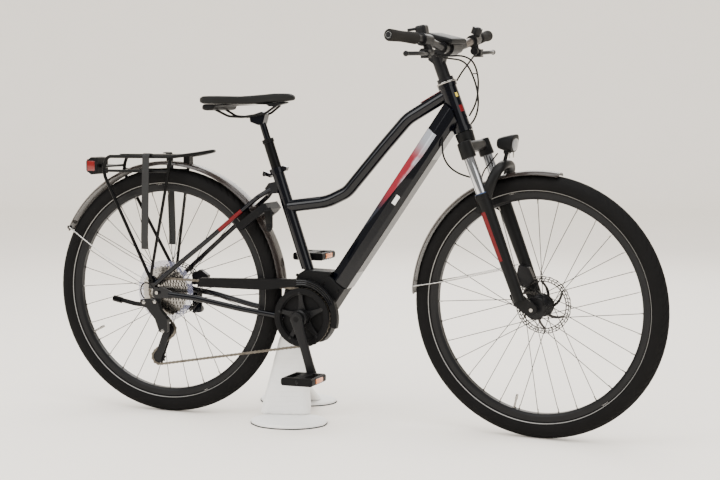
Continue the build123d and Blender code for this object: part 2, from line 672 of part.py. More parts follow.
def handlebar():
    left = [(x, y, z) for x, y, z in BAR]
    right = [(x, -y, z) for x, y, z in reversed(BAR[1:])]
    points = right + left[1:]
    bar = pipe(points, 11.0, [90, 120, 160, 160, 120, 90])
    return bar + disc((421, 0, 1062), 15.9, -56, 56)


def grips():
    made = []
    start, end = Vector(*BAR[3]), Vector(*BAR[4])
    d = (end - start).normalized()
    for s in (1, -1):
        a = start + d * 4
        b = end + d * 1.5
        a, b = (a.X, s * a.Y, a.Z), (b.X, s * b.Y, b.Z)
        made.append(cone_rod(a, b, 16.5, 15.5))
    return made


def display():
    body = slab([(366, 1092), (400, 1100), (446, 1080), (450, 1066), (440, 1064), (424, 1087), (404, 1088),
                 (370, 1076)], -58, 58, 2)
    return body


def bar_controls():
    """Clamped on the bar: both brake bodies, the gear shifter and the bell."""
    made = []
    for s in (1, -1):
        a, b = (423.8, s * 148, 1079.6), (420.3, s * 190, 1084.3)
        body = rod(a, b, 17)
        body += rod((422, s * 168, 1081), (430, s * 160, 1052), 11)
        body += rod((430, s * 150, 1052), (424, s * 192, 1050), 11)
        made.append(body)
    shifter = block((406, -152, 1107), (30, 32, 30), 10)
    shifter = fillet(shifter.edges(), 7)
    shifter += rod((398, -160, 1113), (378, -182, 1109), 4)
    made[1] += shifter
    made[0] += Pos(428, 176, 1108) * Rot(0, 20, 0) * Cylinder(15, 20)
    return made


def brake_lever(side):
    pivot = (434, side * 186, 1046)
    boss = Pos(*pivot) * Rot(0, 0, 0) * Cylinder(7, 11)
    blade = pipe([(434, side * 186, 1046), (443, side * 240, 1048), (428, side * 300, 1048)], 5.5, [120])
    tip = Pos(427, side * 302, 1048) * Sphere(7.5)
    return boss + blade + tip - Pos(*pivot) * Cylinder(3 + RUN_GAP, 30)


def lever_pins(controls):
    done = []
    for side, body in zip((1, -1), controls):
        pivot = (434, side * 186, 1046)
        room = Pos(*pivot) * Cylinder(8.5, 12.2)
        room += pipe([(434, side * 186, 1046), (443, side * 240, 1048), (428, side * 300, 1048)], 7.5, [120])
        pin = Pos(*pivot) * Cylinder(3, 22)
        lug = Pos(pivot[0] - 4, pivot[1] - side * 4, pivot[2]) * Box(22, 20, 22)
        done.append(body + lug - room + pin)
    return done


# ---- fork lowers ---------------------------------------------------------
def fork_lowers():
    """Two tapering outer legs, the arch that joins them over the wheel, and the axle lugs."""
    body = pipe([(548, -64, 655), (566, -61, 706), (579, -39, 741), (582, 0, 748), (579, 39, 741),
                 (566, 61, 706), (548, 64, 655)], 10.5)
    for s in (1, -1):
        top = along(HEAD_POINT, STEER, -252, s * LEG_Y, LEG_AHEAD)
        low = along(HEAD_POINT, STEER, -556, s * LEG_Y, LEG_AHEAD)
        leg = cone_rod(top, low, 20.5, 15.5)
        lug = slab([(612, 400), (640, 408), (688, 372), (690, 352), (676, 345), (652, 352), (626, 372)],
                   50.3, 60, 5)
        body += leg + (lug if s > 0 else mirror_y(lug))
    for s in (1, -1):
        body -= rod(along(HEAD_POINT, STEER, -140, s * LEG_Y, LEG_AHEAD),
                    along(HEAD_POINT, STEER, -440, s * LEG_Y, LEG_AHEAD), 15 + RUN_GAP)
    return body - disc(FRONT, AXLE_R, -90, 90)


def front_fender():
    centre = (FRONT[0], 0, FRONT[2])
    blade = fender_blade(centre, 371, 80, 177)
    stays = []
    for s in (1, -1):
        stays.append(pipe([(318, s * 33, 404), (450, s * 43, 431), (598, s * 46.8, 467.4)], 1.8, [300]))
    return [blade] + stays


def front_brake():
    body = slab([(628, 404), (650, 432), (636, 462), (606, 470), (600, 440), (606, 414)], 30, 47, 4)
    return body - disc(FRONT, 81, 37.2, 41.6)


def headlight():
    shell = slab([(557, 782), (557, 816), (566, 826), (604, 829), (611, 820), (611, 786), (604, 778),
                  (566, 776)],
                 -27, 27, 3)
    bracket = slab([(566, 744.5), (578, 741), (590, 770), (592, 776), (580, 777)], -9, 9)
    tabs = slab([(594, 764), (602, 764), (602, 778.5), (594, 778)], -20, -12)
    return shell + bracket + tabs + mirror_y(tabs)


# ---- cables --------------------------------------------------------------
HOSE_R = 2.5
CABLE_R = 2.0

BRAKE_HOSE_RIGHT = [(421, -134, 1038), (438, -102, 1031), (452, -68, 1029), (462, -38, 1027),
                    (475, -18, 1014), (487, -12, 988), (498, -10, 957), (504, -9, 918), (500, -8, 885),
                    (489, -8, 861), (481, -8, 854)]
SHIFT_CABLE = [(380, -128, 1078), (388, -112, 1054), (408, -88, 1040), (434, -58, 1037), (459, -24, 1040),
               (477, 4, 1031), (489, 9, 1012), (497, 9, 982), (498, 7, 950), (494, 6, 919), (484, 6, 893),
               (471, 6, 874)]
BRAKE_HOSE_LEFT = [(452, 126, 1046), (450, 100, 1033), (445, 70, 1014), (437, 44, 993), (429, 30, 972)]
FORK_HOSE = [(412, -42, 818), (413, -48, 792), (418, -51, 764), (434, -49, 738), (458, -39, 720),
             (484, -18, 710), (499, 10, 702), (503, 37, 685), (511, 53, 664), (531, 62, 642)]
LIGHT_CABLE = [(560, -14, 776), (549, -20, 760), (537, -28, 743), (526, -36, 727), (523, -42, 709)]
DERAILLEUR_CABLE = [(-452, -89, 372), (-464, -90, 389), (-484, -91, 391), (-496, -90, 374),
                    (-494, -88, 352), (-486, -84, 343.5)]


# ---- build ---------------------------------------------------------------
def build():
    motor = motor_unit()
    head = head_tube()
    seat = seat_tube()
    save("motor_unit", motor)
    save("head_tube", head)
    save("seat_tube", seat - motor)
    down = down_tube(head, motor)
    save("down_tube", down)
    save("battery_pack", battery())
    save("top_tube", top_tube(head, seat, down))
    stays = chain_stays(motor)
    save("chain_stays", stays + kickstand_mount(stays))
    save("seat_stays", seat_stays(seat, stays))
    fender = rear_fender()
    save("rear_rack", rear_rack(fender[0]))
    save("rack_straps", *rack_straps())
    save("rear_light", rear_light())
    save("rear_fender", *fender)
    lock, key = frame_lock()
    save("frame_lock", lock, key)
    save("chain_guard", chain_guard())
    save("chain", chain())
    save("rear_brake", rear_brake())
    save("rear_axle", disc(REAR, AXLE_R, -84, 84))
    save("derailleur_body", derailleur_body())
    save("derailleur_cage", derailleur_cage())
    feet = stand_feet()
    legs = stand_legs(feet)
    save("stand_feet", *feet)
    save("stand_legs", legs)
    save("stand_cradle", stand_cradle(motor, stays, legs))
    save("kickstand", kickstand())

    save("rear_tyre", tyre(REAR))
    save("rear_rim", rim(REAR))
    save("rear_spokes", *spokes(REAR, 32, -18, 28))
    save("rear_hub", *rear_hub())
    save("cassette", cassette())

    save("crank_arms", crank_arms())
    save("chainring", chainring())
    save("pedal_right", pedal(-1))
    save("pedal_left", pedal(1))

    save("seat_post", seat_post())
    rails = saddle_rails()
    save("post_piston", post_piston())
    save("saddle_rails", *rails)
    save("saddle_shell", saddle_shell(rails))
    save("saddle_pad", saddle_pad())

    crown = fork_crown()
    save("fork_crown", turned(crown))
    quill = stem()
    save("stem", turned(quill))
    bar = handlebar()
    save("handlebar", turned(bar))
    save("grips", *[turned(g - bar) for g in grips()])
    save("display", turned(display() - bar - quill))
    left, right = [c - bar for c in lever_pins(bar_controls())]
    save("bar_controls", turned(left), turned(right))
    save("brake_lever_left", turned(brake_lever(1)))
    save("brake_lever_right", turned(brake_lever(-1)))
    lowers = fork_lowers()
    save("fork_lowers", turned(lowers))
    save("front_fender", *[turned(p) for p in front_fender()])
    save("front_brake", turned(front_brake()))
    save("headlight", turned(headlight() - lowers))
    save("front_axle", turned(disc(FRONT, AXLE_R, -60, 60)))
    save("front_tyre", turned(tyre(FRONT)))
    save("front_rim", turned(rim(FRONT)))
    save("front_spokes", *[turned(s) for s in spokes(FRONT, 28, -28, 28)])
    save("front_hub", *[turned(p) for p in front_hub()])

    save("brake_hose_right", cord("brake_hose_right", BRAKE_HOSE_RIGHT, HOSE_R))
    save("brake_hose_left", cord("brake_hose_left", BRAKE_HOSE_LEFT, HOSE_R))
    save("shift_cable", cord("shift_cable", SHIFT_CABLE, HOSE_R))
    save("fork_hose", cord("fork_hose", FORK_HOSE, HOSE_R))
    save("light_cable", cord("light_cable", LIGHT_CABLE, CABLE_R))
    save("derailleur_cable", cord("derailleur_cable", DERAILLEUR_CABLE, CABLE_R))


build()
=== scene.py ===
import json
import math

import bmesh
import bpy
import numpy as np
from bpy.props import FloatProperty, FloatVectorProperty, IntProperty, PointerProperty
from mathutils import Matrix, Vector


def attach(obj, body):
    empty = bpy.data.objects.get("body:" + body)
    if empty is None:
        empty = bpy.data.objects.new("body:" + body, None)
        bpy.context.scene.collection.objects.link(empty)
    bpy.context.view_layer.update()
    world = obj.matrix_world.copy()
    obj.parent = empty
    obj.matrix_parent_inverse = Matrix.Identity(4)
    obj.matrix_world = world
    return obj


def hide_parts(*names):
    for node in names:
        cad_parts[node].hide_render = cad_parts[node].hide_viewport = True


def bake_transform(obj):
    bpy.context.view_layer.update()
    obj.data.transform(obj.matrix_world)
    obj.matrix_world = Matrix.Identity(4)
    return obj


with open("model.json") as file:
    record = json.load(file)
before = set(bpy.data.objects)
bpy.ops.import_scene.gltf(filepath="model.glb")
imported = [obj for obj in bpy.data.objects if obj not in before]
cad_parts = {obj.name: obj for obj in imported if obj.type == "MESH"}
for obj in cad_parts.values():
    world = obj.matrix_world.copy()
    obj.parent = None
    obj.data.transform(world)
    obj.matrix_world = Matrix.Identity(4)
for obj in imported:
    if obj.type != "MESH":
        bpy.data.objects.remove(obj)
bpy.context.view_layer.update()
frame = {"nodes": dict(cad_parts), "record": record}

bl_info = {
    "name": "City e-bicycle on a display stand",
    "version": (1, 0, 0),
    "blender": (4, 5, 0),
    "location": "View3D > Sidebar > Bicycle",
    "description": "Builds the looks of a city e-bicycle held in a wrapped display stand",
    "category": "Add Mesh",
}


def pivot(name):
    """A point on a hinge's axis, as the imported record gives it."""
    joint = next(j for j in frame["record"]["behaviour"]["joints"] if j["name"] == name)
    return np.array(joint["pos_m"], float)


# Places shared with the solid model, in metres: x forwards, y to the left, z up. The steered parts are given
# as they stand with the bars straight.
REAR = pivot("rear_wheel_spin")
FRONT = np.array([0.6745, 0.0, 0.361])
CRANK = pivot("crank_spin")
STEER_POINT = pivot("steering_turn")
STEER_SLOPE = math.radians(69.5)
STEER_AXIS = np.array([-math.cos(STEER_SLOPE), 0.0, math.sin(STEER_SLOPE)])
STEER_SQUARE = np.array([STEER_AXIS[2], 0.0, -STEER_AXIS[0]])
STEER_REST = math.radians(-6.0)  # the bars stand turned a little to the right
SEAT_FOOT = np.array([-0.002, 0.0, 0.436])
SEAT_SLOPE = math.radians(71.4)
SEAT_AXIS = np.array([-math.cos(SEAT_SLOPE), 0.0, math.sin(SEAT_SLOPE)])
TUBE_FOOT = np.array([0.1086, 0.0, 0.4175])
TUBE_SLOPE = math.radians(55.6)
TUBE_AXIS = np.array([math.cos(TUBE_SLOPE), 0.0, math.sin(TUBE_SLOPE)])
TUBE_UP = np.array([-TUBE_AXIS[2], 0.0, TUBE_AXIS[0]])
FENDER_CENTRE = REAR + [0.0, 0.0, 0.008]
GUIDE = pivot("changer_cage_swing")
CHAIN_Y = GUIDE[1]
TENSION = np.array([-0.458, CHAIN_Y, 0.168])
CHAIN_PITCH = 0.0127  # half an inch
COG_GAP = 0.004
CHAINED_COG = 4  # counted from the smallest, which is 0
CRANK_REACH = 0.165
CRANK_LEAN = math.radians(16.5)
RING_TURN = 0.4  # radians from the x axis to the first arm of the chainring
TYRE_RING, TYRE_ROUND = 0.336, 0.025  # the circle that the tyre's round section follows, and the section's radius
LEG_SIDE, LEG_AHEAD = 0.065, 0.017  # fork legs from the steering axis
TUBE_WIDE, TUBE_DEEP = 0.037, 0.0305  # half sizes of the faceted down tube
HOSE_RADIUS, LEAD_RADIUS = 0.0025, 0.0020
STAY_RADIUS = 0.0018
CAMERA_AT = (1.7119, -4.0968, 0.8994)
CAMERA_DIP, CAMERA_TURN = math.radians(4.855), math.radians(20.795)
LIT_POINT = Vector((0.1, 0, 0.5))  # every light faces this
UP = np.array([0.0, 0.0, 1.0])
ACROSS = np.array([0.0, 1.0, 0.0])
AHEAD = np.array([1.0, 0.0, 0.0])


# ---- surfaces worked out with numpy --------------------------------------
def steered(points):
    """Rodrigues' formula: q cos t + (k x q) sin t + k (k.q)(1 - cos t), about the steering axis."""
    q = np.asarray(points, float) - STEER_POINT
    c, s = math.cos(STEER_REST), math.sin(STEER_REST)
    spin = np.cross(np.broadcast_to(STEER_AXIS, q.shape), q)
    return q * c + spin * s + (q @ STEER_AXIS)[..., None] * STEER_AXIS * (1 - c) + STEER_POINT


def grid_part(points, close_u=False, close_v=False, cap=False):
    """A grid of points (u, v, xyz) as quads; caps close the two u ends with a fan to their mean."""
    n, m = points.shape[:2]
    index = np.arange(n * m).reshape(n, m)
    a = index if close_u else index[:-1]
    b = np.roll(index, -1, 0) if close_u else index[1:]
    if not close_v:
        quads = np.stack([a[:, :-1], a[:, 1:], b[:, 1:], b[:, :-1]], -1)
    else:
        quads = np.stack([a, np.roll(a, -1, 1), np.roll(b, -1, 1), b], -1)
    verts = points.reshape(-1, 3)
    faces = [quads.reshape(-1, 4)]
    if cap:
        ends = np.stack([points[0].mean(0), points[-1].mean(0)])
        first, last = index[0], index[-1]
        faces.append(np.stack([np.roll(first, -1), first, np.full(m, n * m)], -1))
        faces.append(np.stack([last, np.roll(last, -1), np.full(m, n * m + 1)], -1))
        verts = np.concatenate([verts, ends])
    return verts, faces


def merged(parts):
    """Several (vertices, faces) parts as one, each part's indices moved past those before it."""
    verts, faces, start = [], [], 0
    for v, f in parts:
        verts.append(v)
        faces += [g + start for g in f]
        start += len(v)
    return np.concatenate(verts), faces


def moved(part, shift):
    """A part carried by a shift."""
    return part[0] + np.asarray(shift, float), part[1]


def turned_part(profile, centre, sides=96, wave=None, arc=None):
    """Turned surface: (radius, y) profile points carried round a Y axis; wave(angle, step) adds to the radius."""
    profile = np.asarray(profile, float)
    angle = np.linspace(0, 2 * np.pi, sides, endpoint=False) if arc is None else np.linspace(*arc, sides)
    radius = np.repeat(profile[:, :1], sides, 1)
    if wave is not None:
        radius = radius + wave(angle[None, :], np.arange(len(profile))[:, None])
    y = np.repeat(profile[:, 1:], sides, 1)
    points = np.stack([radius * np.cos(angle), y, radius * np.sin(angle)], -1) + centre
    return grid_part(points.transpose(1, 0, 2), close_u=arc is None, close_v=True, cap=arc is not None)


def smooth_path(points, count):
    """Catmull-Rom curve through the points: the cubic that passes each with the slope of its neighbours' chord."""
    p = np.asarray(points, float)
    p = np.concatenate([2 * p[:1] - p[1:2], p, 2 * p[-1:] - p[-2:-1]])
    t = np.linspace(0, len(p) - 3 - 1e-9, count)
    i = t.astype(int)
    f = (t - i)[:, None]
    a, b, c, d = p[i], p[i + 1], p[i + 2], p[i + 3]
    return 0.5 * (2 * b + (c - a) * f + (2 * a - 5 * b + 4 * c - d) * f ** 2 + (3 * b - a - 3 * c + d) * f ** 3)


def path_frames(path, reference):
    """Tangent, side and up of a path: side = tangent x reference, up = side x tangent, all unit."""
    tangent = np.gradient(path, axis=0)
    tangent /= np.linalg.norm(tangent, axis=1)[:, None]
    side = np.cross(tangent, np.broadcast_to(reference, tangent.shape))
    side /= np.linalg.norm(side, axis=1)[:, None]
    return tangent, side, np.cross(side, tangent)


def tube_part(path, radius, sides=14, reference=UP):
    """Round section carried along a path: p + r (cos a side + sin a up)."""
    path = np.asarray(path, float)
    _, side, up = path_frames(path, np.asarray(reference, float))
    a = np.linspace(0, 2 * np.pi, sides, endpoint=False)
    r = np.broadcast_to(np.asarray(radius, float), (len(path),))[:, None, None]
    ring = np.cos(a)[None, :, None] * side[:, None, :] + np.sin(a)[None, :, None] * up[:, None, :]
    return grid_part(path[:, None, :] + r * ring, close_v=True, cap=True)


def rod_part(a, b, radius_a, radius_b=None, sides=16, soften=0.0006):
    """Round bar between two points with softened rims: the radius eases in over the last few tenths of a mm."""
    a, b = np.asarray(a, float), np.asarray(b, float)
    radius_b = radius_a if radius_b is None else radius_b
    d = (b - a) / np.linalg.norm(b - a)
    reference = UP if abs(d[2]) < 0.8 else ACROSS
    path = np.stack([a, a + d * soften * 0.3, a + d * soften, b - d * soften, b - d * soften * 0.3, b])
    radii = np.array([radius_a - soften, radius_a - soften * 0.3, radius_a, radius_b, radius_b - soften * 0.3,
                      radius_b - soften])
    side = np.cross(d, reference)
    side /= np.linalg.norm(side)
    up = np.cross(side, d)
    t = np.linspace(0, 2 * np.pi, sides, endpoint=False)
    ring = np.cos(t)[:, None] * side + np.sin(t)[:, None] * up
    return grid_part(path[:, None, :] + radii[:, None, None] * ring[None], close_v=True, cap=True)


def pad_part(centre, size, corner, steps=5, tilt=0.0):
    """Rounded block: a sphere of the corner radius with its octants moved out to the corners; tilt is about Y."""
    half = np.asarray(size, float) / 2 - corner
    eighth = np.linspace(0, np.pi / 2, steps)
    around = np.concatenate([eighth + k * np.pi / 2 for k in range(4)])
    sign_x = np.repeat([1, -1, -1, 1], steps)
    sign_y = np.repeat([1, 1, -1, -1], steps)
    rise = np.concatenate([np.linspace(-np.pi / 2, 0, steps), np.linspace(0, np.pi / 2, steps)])
    sign_z = np.repeat([-1, 1], steps)
    x = corner * np.cos(rise)[:, None] * np.cos(around) + half[0] * sign_x
    y = corner * np.cos(rise)[:, None] * np.sin(around) + half[1] * sign_y
    z = corner * np.sin(rise)[:, None] + half[2] * sign_z[:, None] + 0 * x
    c, s = math.cos(tilt), math.sin(tilt)
    points = np.stack([x * c - z * s, y, x * s + z * c], -1) + np.asarray(centre, float)
    return grid_part(points, close_v=True, cap=True)


def plate_part(outline, y_low, y_high, edge=0.0008):
    """Flat plate in XZ with a softened rim: the outline is drawn in by the edge at both faces."""
    p = np.asarray(outline, float)
    if np.sum(p[:, 0] * np.roll(p[:, 1], -1) - np.roll(p[:, 0], -1) * p[:, 1]) < 0:
        p = p[::-1]
    ahead = np.roll(p, -1, 0) - p
    ahead /= np.linalg.norm(ahead, axis=1)[:, None]
    normal = np.stack([ahead[:, 1], -ahead[:, 0]], -1)
    out = normal + np.roll(normal, 1, 0)
    out /= np.maximum(np.sum(out * normal, 1), 0.35)[:, None]
    rows = [np.stack([q[:, 0], np.full(len(q), y), q[:, 1]], -1)
            for q, y in ((p - out * edge, y_high), (p, y_high - edge), (p, y_low + edge), (p - out * edge, y_low))]
    index = np.arange(4 * len(p)).reshape(4, len(p))
    upper, lower = index[:-1], index[1:]
    sides = np.stack([upper, np.roll(upper, -1, 1), np.roll(lower, -1, 1), lower], -1).reshape(-1, 4)
    return np.concatenate(rows), [sides, index[:1, ::-1], index[3:]]


def new_piece(name, part, finish, body, replaces=(), smooth=35.0, turn=False):
    """Put a part into a mesh object, smooth it up to an angle, give it its finish and set it riding."""
    verts, faces = part
    if turn:
        verts = steered(verts)
    mesh = bpy.data.meshes.new(name)
    mesh.from_pydata(verts.tolist(), [], [f for g in faces for f in g.tolist()])
    mesh.validate()
    work = bmesh.new()
    work.from_mesh(mesh)
    bmesh.ops.recalc_face_normals(work, faces=work.faces)
    work.to_mesh(mesh)
    work.free()
    obj = bpy.data.objects.new(name, mesh)
    bpy.context.scene.collection.objects.link(obj)
    mesh.shade_smooth()
    mesh.set_sharp_from_angle(angle=math.radians(smooth))
    mesh.materials.append(finish)
    if body:
        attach(obj, body)
    if replaces:
        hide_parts(*replaces)
    return obj


# ---- materials -----------------------------------------------------------
def linear(code):
    """sRGB hex to linear colour: ((c + 0.055) / 1.055) ** 2.4 above the toe."""
    values = [int(code[i:i + 2], 16) / 255 for i in (1, 3, 5)]
    return tuple(v / 12.92 if v <= 0.04045 else ((v + 0.055) / 1.055) ** 2.4 for v in values) + (1.0,)


def add(tree, kind, links=None, **settings):
    """Add a node: links join other sockets to its inputs, and settings starting with i_ are socket values."""
    node = tree.nodes.new(kind)
    for key, value in settings.items():
        if key.startswith("i_"):
            node.inputs[key[2:].replace("_", " ")].default_value = value
        else:
            setattr(node, key, value)
    for key, socket in (links or {}).items():
        tree.links.new(socket, node.inputs[key])
    return node


def finish(name, colour, second, rough, rough_spread=0.08, grain_mm=3.0, bump_mm=0.02, metallic=0.0, ior=1.5,
           coat=0.0, coat_rough=0.05, alpha=1.0, sheen=0.0, specular=0.5, patch_mm=60.0):
    """Base finish: two close colours in soft patches, fine grain in roughness and height, at real sizes."""
    mat = bpy.data.materials.new(name)
    mat.use_nodes = True
    tree = mat.node_tree
    shader = tree.nodes["Principled BSDF"]
    place = add(tree, "ShaderNodeTexCoord")
    patch = add(tree, "ShaderNodeTexNoise", {"Vector": place.outputs["Object"]}, i_Scale=1000 / patch_mm, i_Detail=3.0)
    grain = add(tree, "ShaderNodeTexNoise", {"Vector": place.outputs["Object"]}, i_Scale=1000 / grain_mm, i_Detail=4.0)
    mix = add(tree, "ShaderNodeMix", {"Factor": patch.outputs["Fac"]}, data_type="RGBA")
    mix.inputs["A"].default_value = linear(colour)
    mix.inputs["B"].default_value = linear(second)
    spread = add(tree, "ShaderNodeMapRange", {"Value": grain.outputs["Fac"]})
    spread.inputs["To Min"].default_value = max(rough - rough_spread, 0.02)
    spread.inputs["To Max"].default_value = min(rough + rough_spread, 1.0)
    lift = add(tree, "ShaderNodeBump", {"Height": grain.outputs["Fac"]}, i_Strength=0.6, i_Distance=bump_mm / 1000)
    tree.links.new(mix.outputs["Result"], shader.inputs["Base Color"])
    tree.links.new(spread.outputs["Result"], shader.inputs["Roughness"])
    tree.links.new(lift.outputs["Normal"], shader.inputs["Normal"])
    shader.inputs["Metallic"].default_value = metallic
    if metallic < 0.5:
        shader.inputs["IOR"].default_value = ior
    shader.inputs["Coat Weight"].default_value = coat
    shader.inputs["Coat Roughness"].default_value = coat_rough
    shader.inputs["Sheen Weight"].default_value = sheen
    shader.inputs["Alpha"].default_value = alpha
    shader.inputs["Specular IOR Level"].default_value = specular
    return mat


def make_finishes():
    """Every finish of the bicycle and its stand, named for what the real one is."""
    made = {}
    # Wet-sprayed lacquer under clear coat: near-black with a blue cast, mirror-like edges.
    made["gloss_lacquer"] = finish("gloss_lacquer", "#020306", "#030409", 0.14, 0.03, 1.5, 0.003, coat=0.35,
                                   coat_rough=0.02, specular=0.12)
    # Satin lacquer of the fork: the same black without the mirror.
    made["satin_lacquer"] = finish("satin_lacquer", "#0a0a0a", "#0f0f0f", 0.42, 0.06, 1.2, 0.008, specular=0.14)
    # Glass-filled nylon casing, spark-eroded mould texture: dull with a faint grain.
    made["moulded_nylon"] = finish("moulded_nylon", "#070708", "#0c0c0d", 0.50, 0.10, 0.8, 0.05, specular=0.12)
    # Battery belly: satin polycarbonate blend that picks up a broad grey shine.
    made["battery_shell"] = finish("battery_shell", "#101112", "#161718", 0.36, 0.05, 1.0, 0.02, specular=0.40)
    # Anodised aluminium, bead blasted: the dyed oxide hides the metal and leaves a dark satin.
    made["black_anodised"] = finish("black_anodised", "#0e0e0f", "#151516", 0.34, 0.08, 0.9, 0.01, specular=0.18)
    # Powder coated steel tube: small orange-peel ripples.
    made["powder_coat"] = finish("powder_coat", "#030303", "#060606", 0.30, 0.06, 2.5, 0.03, specular=0.15)
    # Nickel plated stampings: bright, slightly yellow grey.
    made["nickel_plate"] = finish("nickel_plate", "#b3b0ab", "#8a8783", 0.24, 0.08, 4.0, 0.01, metallic=1.0)
    # Ground brake-disc steel, darkened by use.
    made["disc_steel"] = finish("disc_steel", "#4b4947", "#2d2b2a", 0.38, 0.10, 1.4, 0.01, metallic=0.9, patch_mm=18)
    # Hard chrome of the inner fork tubes.
    made["hard_chrome"] = finish("hard_chrome", "#d6d7d9", "#b9bbbe", 0.07, 0.03, 6.0, 0.002, metallic=1.0)
    # Oiled chain steel: dark brown-grey, uneven.
    made["oiled_steel"] = finish("oiled_steel", "#7c766d", "#3a352f", 0.36, 0.12, 2.0, 0.02, metallic=0.9, patch_mm=9)
    # Vulcanised tread rubber: dusty charcoal.
    made["tyre_rubber"] = finish("tyre_rubber", "#0a0a0a", "#111010", 0.80, 0.08, 1.5, 0.06, specular=0.10)
    # Soft grip rubber, slightly warm and dusty.
    made["grip_rubber"] = finish("grip_rubber", "#161514", "#201e1c", 0.74, 0.08, 1.2, 0.08, specular=0.12)
    # Thin reflective tape woven into the tyre wall.
    made["reflex_tape"] = finish("reflex_tape", "#8f8e8b", "#6f6e6b", 0.42, 0.08, 1.0, 0.01, metallic=0.3)
    # Smoked polycarbonate blades: brown-grey, light comes through a little.
    made["smoked_polycarbonate"] = finish("smoked_polycarbonate", "#1c1614", "#26201d", 0.24, 0.05, 3.0, 0.01,
                                          ior=1.58, alpha=0.88, coat=0.15, specular=0.25)
    # Synthetic saddle cover, calendered grain.
    made["saddle_cover"] = finish("saddle_cover", "#111110", "#191918", 0.58, 0.08, 1.6, 0.10, specular=0.14)
    # Cotton gauze tape, white, wound in turns.
    made["gauze_tape"] = gauze_tape()
    # Moulded acrylic lenses.
    made["red_lens"] = finish("red_lens", "#5c0907", "#74100c", 0.14, 0.04, 2.0, 0.01, ior=1.49, coat=0.6)
    made["amber_lens"] = finish("amber_lens", "#d9781c", "#b85c10", 0.18, 0.05, 1.2, 0.03, ior=1.49, coat=0.5)
    made["clear_lens"] = finish("clear_lens", "#5d6064", "#45484c", 0.10, 0.03, 2.0, 0.004, ior=1.49, coat=0.8)
    # Display window: dark hard-coated glass with an anti-glare etch.
    made["screen_glass"] = finish("screen_glass", "#020203", "#040405", 0.45, 0.04, 5.0, 0.001, ior=1.52,
                                  specular=0.10)
    # Extruded polyurethane hose and cable jacket.
    made["hose_jacket"] = finish("hose_jacket", "#080808", "#0d0d0d", 0.40, 0.05, 1.0, 0.01, specular=0.15)
    # Woven rubber-cored luggage strap.
    made["elastic_band"] = finish("elastic_band", "#0c0c0c", "#131313", 0.66, 0.08, 0.9, 0.08)
    # Moulded polycarbonate spoke guard, clear with strain colours.
    made["clear_disc"] = finish("clear_disc", "#8d93a6", "#6f6a86", 0.12, 0.04, 8.0, 0.004, ior=1.58, alpha=0.34,
                                patch_mm=40)
    # Vinyl decals and labels under or on the lacquer.
    made["red_decal"] = finish("red_decal", "#4c0307", "#62060b", 0.34, 0.04, 1.0, 0.004, coat=0.15,
                                specular=0.15)
    made["yellow_decal"] = finish("yellow_decal", "#c9b43a", "#bfa72c", 0.35, 0.04, 1.0, 0.004)
    made["white_label"] = finish("white_label", "#d8d8d4", "#c4c4c0", 0.45, 0.05, 0.8, 0.004)
    # Bronze-grey anodised bar, bare between its fittings.
    made["grey_bar"] = finish("grey_bar", "#5d5650", "#6b635c", 0.34, 0.06, 0.9, 0.01, metallic=0.8)
    # Blue anodised collar ring over the fork seals.
    made["blue_ring"] = finish("blue_ring", "#2f3f5c", "#25334c", 0.3, 0.05, 1.0, 0.01, metallic=0.7)
    made["silver_decal"] = silver_decal()
    return made


def gauze_tape():
    """Wound white tape: overlapping turns as shallow ridges every 14 mm and a fine open weave drawn at 1.2 mm."""
    mat = finish("gauze_tape", "#e3e2df", "#d3d2cf", 0.86, 0.06, 2.2, 0.10, sheen=0.25, patch_mm=45)
    tree = mat.node_tree
    shader = tree.nodes["Principled BSDF"]
    place = add(tree, "ShaderNodeTexCoord")
    tilt = add(tree, "ShaderNodeMapping", {"Vector": place.outputs["Object"]}, i_Rotation=(0.10, 0.06, 0.0))
    turns = add(tree, "ShaderNodeTexWave", {"Vector": tilt.outputs[0]}, bands_direction="Z", wave_profile="SAW",
                i_Scale=1000 / 14 / math.pi, i_Distortion=1.6, i_Detail=2.0, i_Detail_Scale=1.2)
    weave = add(tree, "ShaderNodeTexVoronoi", {"Vector": place.outputs["Object"]}, i_Scale=1000 / 1.2)
    old = shader.inputs["Normal"].links[0].from_socket
    one = add(tree, "ShaderNodeBump", {"Height": weave.outputs["Distance"], "Normal": old}, i_Strength=0.35,
              i_Distance=0.0002)
    two = add(tree, "ShaderNodeBump", {"Height": turns.outputs["Fac"], "Normal": one.outputs[0]}, i_Strength=0.8,
              i_Distance=0.0012)
    tree.links.new(two.outputs[0], shader.inputs["Normal"])
    return mat


